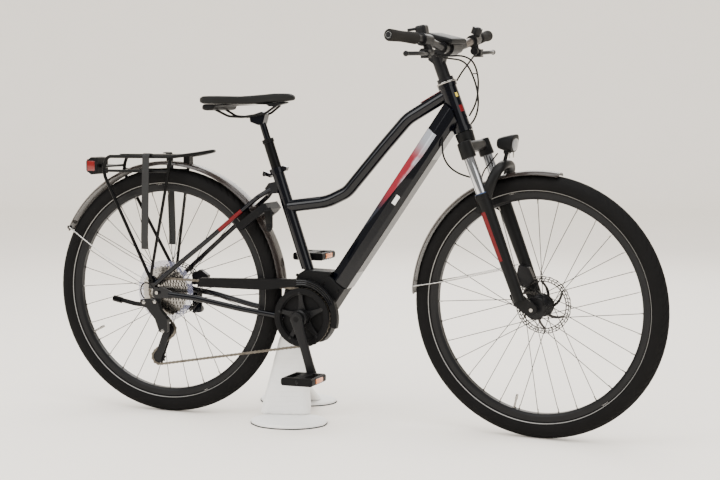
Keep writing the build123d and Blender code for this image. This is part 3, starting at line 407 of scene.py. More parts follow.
def silver_decal():
    """Printed panel under the clear coat: silver grey with a soft red streak along the tube, fading at its low end."""
    mat = finish("silver_decal", "#a9adb4", "#8a8e96", 0.24, 0.04, 0.9, 0.004, coat=1.0, coat_rough=0.03, metallic=0.35)
    tree = mat.node_tree
    shader = tree.nodes["Principled BSDF"]
    place = add(tree, "ShaderNodeTexCoord")
    base = shader.inputs["Base Color"].links[0].from_socket
    local = add(tree, "ShaderNodeMapping", {"Vector": place.outputs["Object"]},
                i_Rotation=(0.0, TUBE_SLOPE, 0.0))
    split = add(tree, "ShaderNodeSeparateXYZ", {"Vector": local.outputs[0]})
    noise = add(tree, "ShaderNodeTexNoise", {"Vector": local.outputs[0]}, i_Scale=24.0, i_Detail=3.0)
    wobble = add(tree, "ShaderNodeMath", {0: noise.outputs["Fac"]}, operation="MULTIPLY")
    wobble.inputs[1].default_value = 0.02
    across = add(tree, "ShaderNodeMath", {0: split.outputs["Y"], 1: wobble.outputs[0]}, operation="ADD")
    band = add(tree, "ShaderNodeMapRange", {"Value": across.outputs[0]}, interpolation_type="SMOOTHSTEP")
    band.inputs["From Min"].default_value = -0.030
    band.inputs["From Max"].default_value = -0.022
    low = add(tree, "ShaderNodeMapRange", {"Value": split.outputs["X"]}, interpolation_type="SMOOTHSTEP")
    foot = float(np.dot(TUBE_FOOT, TUBE_AXIS))
    low.inputs["From Min"].default_value = foot + 0.22
    low.inputs["From Max"].default_value = foot + 0.30
    high = add(tree, "ShaderNodeMapRange", {"Value": split.outputs["X"]}, interpolation_type="SMOOTHSTEP")
    high.inputs["From Min"].default_value = foot + 0.47
    high.inputs["From Max"].default_value = foot + 0.40
    both = add(tree, "ShaderNodeMath", {0: band.outputs["Result"], 1: high.outputs["Result"]}, operation="MULTIPLY")
    red = add(tree, "ShaderNodeMix", {"Factor": both.outputs[0], "A": base}, data_type="RGBA")
    red.inputs["B"].default_value = linear("#8e1a2a")
    dark = add(tree, "ShaderNodeMix", {"Factor": low.outputs["Result"], "B": red.outputs["Result"]}, data_type="RGBA")
    dark.inputs["A"].default_value = linear("#1a1e2a")
    tree.links.new(dark.outputs["Result"], shader.inputs["Base Color"])
    return mat


# ---- shapes of this bicycle ----------------------------------------------
def on_axis(point, axis, distance, side=0.0, forward=0.0):
    """Point at a distance along a leaning axis, moved to the side and square to it in the XZ plane."""
    square = np.array([axis[2], 0.0, -axis[0]])
    return point + axis * distance + ACROSS * side + square * forward


def tyre_surface(centre, depth, blocks):
    """Tyre shell: a round section carried on the tyre ring, open inwards, with grooves cut in by depth where
    the saw of blocks * angle + |section angle| falls low, deepest on the shoulders."""
    half = math.radians(150)
    phi = np.linspace(-half, half, 65)
    bore = TYRE_ROUND - 0.0045
    outer = np.stack([TYRE_RING + TYRE_ROUND * np.cos(phi), TYRE_ROUND * np.sin(phi)], -1)
    inner = np.stack([TYRE_RING + bore * np.cos(phi[::-4]), bore * np.sin(phi[::-4])], -1)
    lean = np.concatenate([phi, np.full(len(inner), 9.0)])

    def wave(angle, step):
        """Depth of the grooves at an angle round the wheel, for each step of the section."""
        section = lean[step]
        shoulder = np.clip((1.02 - np.abs(section)) / 0.12, 0, 1)
        crown = np.clip((np.abs(section) - 0.16) / 0.05, 0, 1)
        middle = np.clip(1 - np.abs(np.abs(section) - 0.50) / 0.05, 0, 1)
        saw = (blocks * angle / (2 * np.pi) + 1.3 * np.abs(section) + 0.5 * (section > 0)) % 1
        groove = np.clip((0.30 - saw) / 0.06, 0, 1) * np.clip((saw - 0.01) / 0.05, 0, 1)
        return -depth * shoulder * np.maximum(groove * crown, middle * 0.8)

    return turned_part(np.concatenate([outer, inner]), centre, sides=int(blocks) * 9, wave=wave)


def reflecting_line(centre):
    """Two thin tapes on the tyre's walls: arcs of its round section, 0.15 mm proud, carried round the wheel."""
    phi = np.radians(np.linspace(133, 138.5, 5))
    proud, sunk = TYRE_ROUND + 0.00015, TYRE_ROUND - 0.001
    lines = []
    for side in (1, -1):
        outer = np.stack([TYRE_RING + proud * np.cos(phi), side * proud * np.sin(phi)], -1)
        inner = np.stack([TYRE_RING + sunk * np.cos(phi[::-1]), side * sunk * np.sin(phi[::-1])], -1)
        lines.append(turned_part(np.concatenate([outer, inner]), centre, 240))
    return merged(lines)


def nipples(centre):
    """A small bright nut where every spoke meets the rim, pointing to the hub."""
    rods = []
    for side in (1, -1):
        for i in range(16):
            a = 2 * math.pi * (i + (0.5 if side > 0 else 0.0)) / 16
            out = np.array([math.cos(a), 0, math.sin(a)])
            at_rim = centre + out * 0.2935 + ACROSS * side * 0.003
            inwards = centre + out * 0.281 + ACROSS * side * 0.0033
            rods.append(rod_part(at_rim, inwards, 0.0021, 0.0016, sides=8, soften=0.0002))
    return merged(rods)


def valve(centre, angle):
    """Valve stem standing in from the rim, with its nut and cap."""
    out = np.array([math.cos(angle), 0, math.sin(angle)])
    return merged([rod_part(centre + out * 0.295, centre + out * 0.262, 0.003, sides=14),
                   rod_part(centre + out * 0.2925, centre + out * 0.2895, 0.0058, sides=6),
                   rod_part(centre + out * 0.268, centre + out * 0.253, 0.0040, 0.0036, sides=14)])


def rotor(centre, y_low, y_high):
    """Brake disc: three thin hoops tied by slanted bridges, which leave rows of holes, six swept arms and a carrier."""
    def band(low, high, ripple):
        """Flat hoop between two radii; the outer one ripples 24 times round."""
        rows = [(low, y_high), (low, y_low), (high, y_low), (high, y_high)]
        return turned_part(rows, centre, 288, lambda a, k: ripple * np.cos(24 * a) * (k >= 2) - ripple * (k >= 2))

    made = [band(0.0640, 0.0668, 0.0), band(0.0712, 0.0732, 0.0), band(0.0772, 0.0800, 0.0007),
            band(0.0225, 0.0315, 0.0)]
    strips = []
    for inner, outer, slant in ((0.0664, 0.0716, 0.035), (0.0728, 0.0776, -0.035)):
        for i in range(42):
            a = 2 * math.pi * i / 42
            p = np.array([[inner * math.cos(a), inner * math.sin(a)],
                          [outer * math.cos(a + slant), outer * math.sin(a + slant)]])
            strips.append((p, np.array([0.0012, 0.0012])))
    for i in range(6):
        a = np.linspace(0, 0.62, 8) + i * math.pi / 3
        r = np.linspace(0.029, 0.066, 8)
        strips.append((np.stack([r * np.cos(a), r * np.sin(a)], -1), np.linspace(0.0042, 0.0030, 8)))
    for mid, half in strips:
        side = np.gradient(mid, axis=0)
        side = np.stack([-side[:, 1], side[:, 0]], -1) / np.linalg.norm(side, axis=1)[:, None] * half[:, None]
        part = plate_part(np.concatenate([mid + side, (mid - side)[::-1]]), y_low + 1e-4, y_high - 1e-4, 0.0002)
        made.append(moved(part, [centre[0], 0, centre[2]]))
    return merged(made)


def hub_shell(centre, left, right, inner_left, inner_right):
    """Hub: two flanges standing off a waisted barrel, with end caps."""
    profile = [(0.0052, inner_left), (0.0052, inner_right), (0.010, inner_right), (0.0125, right - 0.003),
               (0.024, right - 0.003), (0.0305, right - 0.002), (0.0315, right), (0.0305, right + 0.003),
               (0.024, right + 0.006), (0.019, right + 0.016), (0.018, (left + right) / 2), (0.019, left - 0.016),
               (0.024, left - 0.006), (0.0305, left - 0.003), (0.0315, left), (0.0305, left + 0.002),
               (0.024, left + 0.003), (0.0125, left + 0.004), (0.010, inner_left)]
    return turned_part(profile, centre, 72)


def belt_path(wheels, pitch):
    """Points one pitch apart round a belt over wheels (x, z, r, s), and the heading at each.

    A tangent from wheel 0 to wheel 1 heads at base - asin((s1 r1 - s0 r0) / d)."""
    ends = []
    for i, (x0, z0, r0, s0) in enumerate(wheels):
        x1, z1, r1, s1 = wheels[(i + 1) % len(wheels)]
        reach = math.hypot(x1 - x0, z1 - z0)
        heading = math.atan2(z1 - z0, x1 - x0) - math.asin((s1 * r1 - s0 * r0) / reach)
        nx, nz = math.sin(heading), -math.cos(heading)
        ends.append(((x0 + s0 * r0 * nx, z0 + s0 * r0 * nz), (x1 + s1 * r1 * nx, z1 + s1 * r1 * nz)))
    line = []
    for i, (x, z, r, s) in enumerate(wheels):
        before, after = ends[i - 1][1], ends[i][0]
        a0 = math.atan2(before[1] - z, before[0] - x)
        a1 = math.atan2(after[1] - z, after[0] - x)
        sweep = (a1 - a0) % (2 * math.pi) if s > 0 else -((a0 - a1) % (2 * math.pi))
        a = np.linspace(a0, a0 + sweep, 60)
        line.append(np.stack([x + r * np.cos(a), z + r * np.sin(a)], -1))
    line = np.concatenate(line + [line[0][:1]])
    steps = np.concatenate([[0], np.cumsum(np.linalg.norm(np.diff(line, axis=0), axis=1))])
    count = int(round(steps[-1] / pitch / 2)) * 2
    at = np.linspace(0, steps[-1], count + 1)
    return np.stack([np.interp(at, steps, line[:, 0]), np.interp(at, steps, line[:, 1])], -1)


def chain_links():
    """Roller chain: inner and outer plate pairs by turns, a roller and a pin end at every joint."""
    pins = belt_path([(CRANK[0], CRANK[2], 0.0809, 1), (REAR[0], REAR[2], 0.0406, 1),
                      (GUIDE[0], GUIDE[2], 0.0225, -1), (TENSION[0], TENSION[2], 0.0225, 1)], CHAIN_PITCH)
    a, b = pins[:-1], pins[1:]
    middle, along = (a + b) / 2, b - a
    reach = np.linalg.norm(along, axis=1)[:, None]
    along = along / reach
    t = np.linspace(-0.5 * np.pi, 0.5 * np.pi, 7)
    cap = np.stack([np.cos(t) * 0.0041, np.sin(t) * 0.0041], -1)
    outline = np.concatenate([cap + [0.00635, 0], [[0.0022, 0.0031], [-0.0022, 0.0031]], -cap + [-0.00635, 0],
                              [[-0.0022, -0.0031], [0.0022, -0.0031]]])
    made = []
    for parity, gap in ((0, 0.0014), (1, 0.0023)):
        for side in (1, -1):
            low, high = sorted((CHAIN_Y + side * gap, CHAIN_Y + side * (gap + 0.0008)))
            verts, faces = plate_part(outline, low, high, 0.0002)
            m, d, k = middle[parity::2], along[parity::2], len(middle[parity::2])
            x = m[:, None, 0] + verts[None, :, 0] * d[:, None, 0] - verts[None, :, 2] * d[:, None, 1]
            z = m[:, None, 1] + verts[None, :, 0] * d[:, None, 1] + verts[None, :, 2] * d[:, None, 0]
            y = np.broadcast_to(verts[None, :, 1], x.shape)
            jump = (np.arange(k) * len(verts))[:, None, None]
            made.append((np.stack([x, y, z], -1).reshape(-1, 3),
                         [(f[None] + jump).reshape(-1, f.shape[1]) for f in faces]))
    roller = turned_part([(0.0, 0.0029), (0.0017, 0.0029), (0.0017, 0.0013), (0.0036, 0.0013), (0.0036, -0.0013),
                          (0.0017, -0.0013), (0.0017, -0.0029), (0.0, -0.0029)], np.zeros(3), 10)
    k = len(a)
    at = np.stack([a[:, 0], np.full(k, CHAIN_Y), a[:, 1]], -1)
    jump = (np.arange(k) * len(roller[0]))[:, None, None]
    made.append(((roller[0][None] + at[:, None]).reshape(-1, 3),
                 [(f[None] + jump).reshape(-1, f.shape[1]) for f in roller[1]]))
    return merged(made)


def sprocket(centre, tip, teeth, y, thick, bore, sides_per=10):
    """Toothed disc: the rim radius dips below tip by a flattened cosine of teeth*angle."""
    def wave(angle, step):
        """Dip between the teeth, on the two rim steps only."""
        dip = 0.5 - 0.5 * np.clip(1.5 * np.cos(teeth * angle), -1, 1)
        return np.where((step == 1) | (step == 2), -0.0036 * dip, 0.0)

    return turned_part([(bore, y - thick / 2), (tip, y - thick / 2), (tip, y + thick / 2), (bore, y + thick / 2)],
                       centre, teeth * sides_per, wave)


def arm_part(start, end, widths, low, high):
    """Forged arm: half width eased between widths along it, half-round ends, rounded-block section."""
    d = end - start
    reach = np.linalg.norm(d)
    d = d / reach
    square = np.array([-d[2], 0.0, d[0]])
    first, last = widths[0], widths[-1]
    turn = np.linspace(0, np.pi / 2, 9)
    along = np.concatenate([-first * np.cos(turn), np.linspace(0, reach, 25)[1:-1], reach + last * np.sin(turn)])
    base = np.interp(np.clip(along, 0, reach), np.linspace(0, reach, len(widths)), widths)
    half = np.where(along < 0, np.sqrt(np.maximum(first ** 2 - along ** 2, 0)), base)
    half = np.where(along > reach, np.sqrt(np.maximum(last ** 2 - (along - reach) ** 2, 0)), half) + 1e-5
    a = np.linspace(0, 2 * np.pi, 28, endpoint=False)
    x = np.sign(np.cos(a)) * np.abs(np.cos(a)) ** 0.45
    y = np.sign(np.sin(a)) * np.abs(np.sin(a)) ** 0.30
    middle, deep = (low + high) / 2, (high - low) / 2
    points = (start[None, None] * [1, 0, 1] + along[:, None, None] * d + half[:, None, None] * x[:, None] * square
              + (middle + deep * y[:, None]) * ACROSS)
    return grid_part(points, close_v=True, cap=True)


def fender_blade(centre, radius, start, stop, half=0.030):
    """Mudguard: a strip whose edges drop 9 mm |v|^3.2 with two fine ribs, carried from start to stop degrees."""
    v = np.linspace(-1, 1, 25)
    lift = -0.009 * np.abs(v) ** 3.2
    rib = 0.0006 * np.exp(-((np.abs(v) - 0.55) / 0.05) ** 2)
    outer = np.stack([radius + lift + rib, v * half], -1)
    inner = np.stack([radius - 0.0021 + lift[::-1] + rib[::-1], v[::-1] * (half - 0.0004)], -1)
    profile = np.concatenate([outer, inner])
    count = int((stop - start) * 1.6)
    angle = np.radians(np.linspace(start, stop, count))[:, None]
    narrow = 1 - 0.25 * np.clip(1 - np.stack([np.arange(count), np.arange(count)[::-1]]).min(0) / 5, 0, 1) ** 2
    points = np.stack([profile[:, 0] * np.cos(angle), profile[:, 1] * narrow[:, None],
                       profile[:, 0] * np.sin(angle)], -1)
    return grid_part(points + centre * [1, 0, 1], close_v=True, cap=True)


def wrap_part(path, radius, low, high, reference=UP, steps=14):
    """Thin patch on a round tube: angles low to high round the path, from 1 mm under its radius to 0.4 mm over."""
    path = np.asarray(path, float)
    _, side, up = path_frames(path, np.asarray(reference, float))
    a = np.radians(np.linspace(low, high, steps))
    a = np.concatenate([a, a[::-1]])
    r = np.broadcast_to(radius, (len(path),))[:, None] + np.repeat([0.0004, -0.001], steps)
    ring = np.cos(a)[:, None] * side[:, None] + np.sin(a)[:, None] * up[:, None]
    return grid_part(path[:, None] + r[..., None] * ring, close_v=True, cap=True)


def facet_patch(side, start, stop, section, taper=0.0):
    """Patch over the down tube's facets: section is its (across, up) corners, as shares of the tube's half width and
    half depth; taper draws the low end to the top corner."""
    u = np.linspace(0, 1, 36)
    along = start + (stop - start) * u
    fade = np.clip(u / taper, 0.02, 1) ** 0.8 if taper else np.ones_like(u)
    corners = np.asarray(section, float) * [TUBE_WIDE, TUBE_DEEP]
    reach = np.concatenate([[0], np.cumsum(np.linalg.norm(np.diff(corners, axis=0), axis=1))])
    share = reach[-1] * (1 - np.linspace(1, 0, 17)[None] * fade[:, None])
    across = np.stack([np.interp(share, reach, corners[:, k]) for k in (0, 1)], -1)
    rows = []
    for offset in (0.0004, -0.0012):
        q = across + np.array([1.0, 0.75]) * offset
        rows.append(TUBE_FOOT + along[:, None, None] * TUBE_AXIS + q[..., :1] * side * ACROSS + q[..., 1:] * TUBE_UP)
    return grid_part(np.concatenate([rows[0], rows[1][:, ::-1]], 1), close_v=True, cap=True)


def route_path(points):
    """Even steps along a route's NURBS spline of order 3, whose control points are the route's points in metres."""
    curve = bpy.data.curves.new("route", "CURVE")
    curve.dimensions = "3D"
    curve.resolution_u = 48
    spline = curve.splines.new("NURBS")
    spline.points.add(len(points) - 1)
    spline.points.foreach_set("co", np.column_stack([points, np.ones(len(points))]).ravel())
    spline.order_u = 3
    spline.use_endpoint_u = True
    holder = bpy.data.objects.new("route", curve)
    mesh = bpy.data.meshes.new_from_object(holder)
    line = np.empty(3 * len(mesh.vertices))
    mesh.vertices.foreach_get("co", line)
    line = line.reshape(-1, 3)
    bpy.data.meshes.remove(mesh)
    bpy.data.objects.remove(holder)
    bpy.data.curves.remove(curve)
    at = np.linspace(0, len(line) - 1, 400)
    return np.stack([np.interp(at, np.arange(len(line)), line[:, k]) for k in range(3)], -1)


def make_cord(name, points, radius, node, mat, body=None, bend=None):
    """A hose along its control points in mm: a tube in mesh in the node's place, riding the body where one is given;
    when bend is given, its placing is baked into the mesh.
    """
    route = np.asarray(points, float) / 1000
    path = route_path(route)
    line = path[::4]
    obj = new_piece(name, tube_part(line, radius, 12, reference=(0.3, 0.9, 0.2)), mat, body, [node])
    if bend:
        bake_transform(obj)


def softened(name, nodes, voxel, passes, mat, body):
    """A rounded copy of solid nodes: voxel remesh, then smoothing passes that ease every edge."""
    parts = []
    for node in nodes:
        mesh = frame["nodes"][node].data
        verts = np.empty(len(mesh.vertices) * 3)
        mesh.vertices.foreach_get("co", verts)
        parts.append((verts.reshape(-1, 3), [np.array([p.vertices[:]]) for p in mesh.polygons]))
    obj = new_piece(name, merged(parts), mat, body, nodes, smooth=180)
    remesh = obj.modifiers.new("Even mesh", "REMESH")
    remesh.mode = "VOXEL"
    remesh.voxel_size = voxel
    remesh.use_smooth_shade = True
    smooth = obj.modifiers.new("Eased edges", "SMOOTH")
    smooth.factor = 0.5
    smooth.iterations = passes
    return obj


# ---- groups of pieces ----------------------------------------------------
def paint(nodes, mat):
    """Give solid-model nodes that stay visible their finish."""
    for node in nodes:
        obj = frame["nodes"][node]
        obj.data.materials.clear()
        obj.data.materials.append(mat)


def build_wheels(settings, mats):
    """Tyres with cut tread, reflecting line, nipples, valves, hubs and brake discs."""
    for tag, centre, body, turn in (("front", FRONT, "front_wheel", True), ("rear", REAR, "rear_wheel", False)):
        new_piece(f"{tag}_tyre_tread", tyre_surface(centre, settings.tread_depth, settings.tread_blocks),
                  mats["tyre_rubber"], body, [f"{tag}_tyre"], smooth=50, turn=turn)
        new_piece(f"{tag}_reflecting_line", reflecting_line(centre), mats["reflex_tape"], body,
                  turn=turn)
        new_piece(f"{tag}_nipples", nipples(centre), mats["nickel_plate"], body, turn=turn)
        new_piece(f"{tag}_valve", valve(centre, math.radians(-104 if tag == "front" else -152)),
                  mats["nickel_plate"], body, turn=turn)
    new_piece("front_hub_shell", hub_shell(FRONT, 0.028, -0.028, 0.049, -0.049), mats["black_anodised"],
              "front_wheel", ["front_hub"], turn=True)
    new_piece("front_brake_disc", rotor(FRONT, 0.0385, 0.0403), mats["disc_steel"], "front_wheel",
              turn=True)
    new_piece("rear_hub_shell", hub_shell(REAR, 0.032, -0.018, 0.062, -0.020), mats["black_anodised"],
              "rear_wheel", ["rear_hub"])
    new_piece("rear_brake_disc", rotor(REAR, 0.0551, 0.0569), mats["disc_steel"], "rear_wheel")
    ribs = [(0.033, -0.0256), (0.060, -0.0258), (0.082, -0.0254), (0.0892, -0.0250), (0.0900, -0.0256),
            (0.0892, -0.0262), (0.082, -0.0264), (0.060, -0.0266), (0.033, -0.0264)]
    new_piece("spoke_guard_disc", turned_part(ribs, REAR, 120), mats["clear_disc"], "rear_wheel")
    paint(["front_rim", "rear_rim"], mats["black_anodised"])
    paint(["front_spokes", "rear_spokes"], mats["powder_coat"])
    paint(["front_axle", "rear_axle"], mats["nickel_plate"])


def spider(centre):
    """Five arms from the hub boss to the ring, each a softened plate narrowing outwards."""
    made = [turned_part([(0.0125, -0.0436), (0.0125, -0.0829), (0.021, -0.0829), (0.0245, -0.078), (0.0245, -0.048),
                         (0.022, -0.0436)], centre, 60)]
    for i in range(5):
        a = 2 * math.pi * i / 5 + RING_TURN
        r = np.array([0.018, 0.034, 0.052, 0.068, 0.073])
        w = np.array([0.013, 0.0085, 0.0062, 0.0066, 0.004])
        out = np.array([math.cos(a), math.sin(a)])
        side = np.array([-out[1], out[0]])
        outline = np.concatenate([r[:, None] * out + w[:, None] * side, (r[:, None] * out - w[:, None] * side)[::-1]])
        made.append(moved(plate_part(outline, -0.0526, -0.0488, 0.0007), [centre[0], 0, centre[2]]))
    return merged(made)


def crank_tip(side):
    """End of a crank arm's axis: the reach turned by the lean, up on the left and down on the right."""
    return CRANK + CRANK_REACH * np.array([-side * math.sin(CRANK_LEAN), 0, side * math.cos(CRANK_LEAN)])


def guard_ring(centre):
    """Ring guard: a band 18 mm wide with a domed face and rolled rims."""
    face = [(0.0662, -0.0548), (0.0660, -0.0558), (0.0668, -0.0568), (0.070, -0.0575), (0.075, -0.0578),
            (0.080, -0.0575), (0.0832, -0.0568), (0.0840, -0.0556), (0.0838, -0.0546), (0.080, -0.0545),
            (0.070, -0.0545)]
    return turned_part(face, centre, 160)


def build_drive(mats):
    """Chain, rings, cogs, cranks, pedals and changer, then the motor."""
    new_piece("chain_links", chain_links(), mats["oiled_steel"], "frame", ["chain"])
    ring = turned_part([(0.0640, -0.0472), (0.0640, -0.0488), (0.0715, -0.0490), (0.0715, -0.0470)], CRANK, 160)
    new_piece("chainring_teeth", merged([sprocket(CRANK, 0.0832, 40, CHAIN_Y, 0.0019, 0.0700, 12), ring]),
              mats["black_anodised"], "crank", ["chainring"])
    new_piece("ring_spider", spider(CRANK), mats["black_anodised"], "crank")
    new_piece("ring_guard", guard_ring(CRANK), mats["moulded_nylon"], "crank")
    bolts = []
    for i in range(5):
        a = 2 * math.pi * i / 5 + RING_TURN
        at = CRANK + 0.069 * np.array([math.cos(a), 0, math.sin(a)])
        bolts.append(rod_part(at + ACROSS * -0.0586, at + ACROSS * -0.0455, 0.0042, sides=18))
    new_piece("ring_bolts", merged(bolts), mats["black_anodised"], "crank")
    cogs = [turned_part([(0.0052, -0.0244), (0.0052, -0.0665), (0.015, -0.0665), (0.017, -0.0655), (0.017, -0.0244)],
                        REAR, 48)]
    radii = [0.0225, 0.0265, 0.0305, 0.0346, 0.0360, 0.0466, 0.0527, 0.0608, 0.0668, 0.0729]
    for i, r in enumerate(radii):
        tip = 0.0424 if i == CHAINED_COG else r + 0.0016
        teeth = 20 if i == CHAINED_COG else int(round(2 * math.pi * r / CHAIN_PITCH))
        y = CHAIN_Y + (i - CHAINED_COG) * COG_GAP
        cogs.append(sprocket(REAR, tip, teeth, y, 0.0017, max(0.0165, tip - 0.014)))
        if tip > 0.032:
            for k in range(5):
                a = 2 * math.pi * k / 5 + 0.2 * i
                out = np.array([math.cos(a), math.sin(a)])
                side = np.array([-out[1], out[0]])
                reach = tip - 0.013
                outline = np.array([out * 0.015 + side * 0.005, out * reach + side * 0.003,
                                    out * reach - side * 0.003, out * 0.015 - side * 0.005])
                cogs.append(moved(plate_part(outline, y - 0.0008, y + 0.0008, 0.0002), [REAR[0], 0, REAR[2]]))
    new_piece("cassette_cogs", merged(cogs), mats["nickel_plate"], "cogs", ["cassette"])

    arms = [turned_part([(0.0, 0.088), (0.0, -0.084), (0.012, -0.084), (0.012, 0.088)], CRANK, 40)]
    for side, low, high in ((-1, -0.097, -0.083), (1, 0.078, 0.092)):
        tip = crank_tip(side)
        arms.append(arm_part(CRANK, tip, [0.0190, 0.0150, 0.0128, 0.0122, 0.0122, 0.0140], low, high))
        arms.append(rod_part(tip + ACROSS * side * 0.091, tip + ACROSS * side * 0.204, 0.0049, sides=20))
    new_piece("crank_arms_forged", merged(arms), mats["black_anodised"], "crank", ["crank_arms"])
    cap = turned_part([(0.0, -0.0975), (0.0074, -0.0975), (0.0082, -0.0968), (0.0082, -0.0960), (0.0, -0.0960)],
                      CRANK, 36)
    new_piece("crank_bolt_cap", cap, mats["moulded_nylon"], "crank")

    for tag, side in (("right", -1), ("left", 1)):
        mid = crank_tip(side) + ACROSS * side * 0.153
        pins, glass = [], []
        for x in (-0.038, 0.038):
            for y in (-0.036, -0.018, 0.0, 0.018, 0.036):
                for z in (-1, 1):
                    at = mid + np.array([x, y, z * 0.0105])
                    pins.append(rod_part(at, at + UP * z * 0.0024, 0.0022, 0.0013, sides=8, soften=0.0003))
            glass.append(pad_part(mid + [math.copysign(0.0466, x), 0, 0], (0.0036, 0.048, 0.013), 0.0014))
        new_piece(f"{tag}_pedal_pins", merged(pins), mats["moulded_nylon"], f"{tag}_pedal")
        new_piece(f"{tag}_pedal_reflectors", merged(glass), mats["amber_lens"], f"{tag}_pedal")
        core = turned_part([(0.0056, 0.048), (0.0056, -0.048), (0.0112, -0.049), (0.0114, 0), (0.0112, 0.049)], mid, 32)
        new_piece(f"{tag}_pedal_barrel", core, mats["moulded_nylon"], f"{tag}_pedal")
    paint(["pedal_right", "pedal_left"], mats["moulded_nylon"])

    paint(["derailleur_body", "derailleur_cage"], mats["black_anodised"])
    changer = []
    for x, z, y in ((-0.427, 0.250, -0.0866), (-0.452, 0.335, -0.0866), (-0.488, 0.332, -0.0866)):
        changer.append(rod_part([x, y - 0.0002, z], [x, y + 0.0030, z], 0.0062, sides=6))
        changer.append(rod_part([x, y - 0.0009, z], [x, y + 0.001, z], 0.0040, sides=20))
    new_piece("changer_bolts", merged(changer), mats["nickel_plate"], "frame")
    wheels = [sprocket(c, 0.0212, 11, CHAIN_Y, 0.0022, 0.0048, 12) for c in (GUIDE * [1, 0, 1], TENSION * [1, 0, 1])]
    new_piece("changer_pulley_teeth", merged(wheels), mats["moulded_nylon"], "changer_cage")

    build_motor(mats)


def build_motor(mats):
    """Motor housing, its screws and the chain guard with three raised ribs."""
    ribs = []
    for r in (0.0955, 0.1010, 0.1065):
        profile = [(r + 0.0016, -0.0588), (r + 0.0012, -0.0603), (r, -0.0608), (r - 0.0012, -0.0603),
                   (r - 0.0016, -0.0588)]
        ribs.append(turned_part(profile, CRANK, 48, arc=(math.radians(24), math.radians(98))))
    new_piece("guard_ribs", merged(ribs), mats["gloss_lacquer"], "frame")
    outline = np.array([(122, 389.5), (76.6, 424.9), (84.85, 436.9), (0, 439.5), (-16, 430), (-34, 404), (-60, 384),
                        (-72, 340), (-66, 278), (-38, 238), (14, 236), (40, 267)]) / 1000
    v, f = turned_part([(0.0125, -0.0415), (0.078, -0.0415), (0.0855, -0.0400), (0.0880, -0.0365), (0.0880, 0.0),
                        (0.0640, 0.0), (0.0640, 0.0460), (0.060, 0.050), (0.0125, 0.050)], CRANK, 120)
    v[:, 2] = np.clip(v[:, 2], 0.2365, None)
    new_piece("motor_housing", merged([plate_part(outline, -0.037, 0.037, 0.0035), (v, f)]), mats["moulded_nylon"],
              "frame", ["motor_unit"])
    screws = [rod_part([x, y, z], [x, y + 0.002, z], 0.0048, sides=24, soften=0.0004)
              for x, z in ((0.101, 0.384), (0.060, 0.405), (-0.020, 0.425), (-0.056, 0.392), (-0.060, 0.300),
                           (0.030, 0.258)) for y in (-0.0385, 0.0365)]
    new_piece("motor_screws", merged(screws), mats["powder_coat"], "frame")
    paint(["chain_guard"], mats["moulded_nylon"])


def build_frame(mats):
    """Painted tubes, their printed panels and stickers, battery, seat post and lock."""
    paint(["head_tube", "top_tube", "down_tube", "seat_tube", "chain_stays", "seat_stays"], mats["gloss_lacquer"])
    paint(["battery_pack"], mats["battery_shell"])
    paint(["seat_post", "kickstand"], mats["powder_coat"])
    paint(["post_piston"], mats["gloss_lacquer"])
    paint(["frame_lock"], mats["moulded_nylon"])
    paint(["rear_brake", "front_brake"], mats["black_anodised"])
    panel = ((1.0, -0.16), (1.0, 0.14), (0.98, 0.24), (0.60, 0.93))
    for tag, side in (("left", 1), ("right", -1)):
        new_piece(f"{tag}_tube_panel", facet_patch(side, 0.150, 0.496, panel, taper=0.80), mats["silver_decal"],
                  "frame", smooth=50)
        new_piece(f"{tag}_tube_label", facet_patch(side, 0.268, 0.296, ((1.0, -0.52), (1.0, -0.14))),
                  mats["white_label"], "frame", smooth=20)
        new_piece(f"{tag}_tube_seam", facet_patch(side, 0.497, 0.4985, panel), mats["moulded_nylon"], "frame",
                  smooth=20)
    top = smooth_path([(0.345, 0, 0.8985), (0.385, 0, 0.9210), (0.412, 0, 0.9362)], 20)
    new_piece("top_tube_red_accent", wrap_part(top, 0.018, 60, 120), mats["red_decal"], "frame")
    head = np.stack([on_axis(STEER_POINT, STEER_AXIS, d) for d in np.linspace(-0.019, 0.000, 12)])
    new_piece("head_tube_sticker", wrap_part(head, 0.024, 196, 226, reference=ACROSS), mats["red_decal"], "frame")
    mark = np.stack([on_axis(STEER_POINT, STEER_AXIS, d) for d in np.linspace(0.024, 0.036, 8)])
    new_piece("head_tube_triangle", wrap_part(mark, 0.024, 204, 222, reference=ACROSS), mats["yellow_decal"], "frame")
    stay = np.linspace([-0.190, -0.0421, 0.6045], [-0.260, -0.0467, 0.5470], 14)
    new_piece("right_stay_stripe", wrap_part(stay, 0.007, -50, 50, reference=(0.77, 0, -0.63)), mats["red_decal"],
              "frame")
    ring = [(0.0275, 0.0), (0.0282, 0.0012), (0.0282, 0.0034), (0.0275, 0.0046), (0.0262, 0.0046), (0.0262, 0.0)]
    v, f = turned_part(ring, np.zeros(3), 72)
    v = on_axis(STEER_POINT, STEER_AXIS, 0.0680) + v[:, 1:2] * STEER_AXIS + v[:, :1] * STEER_SQUARE + v[:, 2:] * ACROSS
    new_piece("headset_rings", (v, f), mats["nickel_plate"], "frame")
    lock = [pad_part([-0.0985, -0.0642, 0.5905], (0.020, 0.0052, 0.040), 0.0024, tilt=0.12),
            rod_part([-0.094, -0.0663, 0.562], [-0.094, -0.0622, 0.562], 0.0052, sides=24)]
    new_piece("lock_key_bow", merged(lock), mats["powder_coat"], "frame")


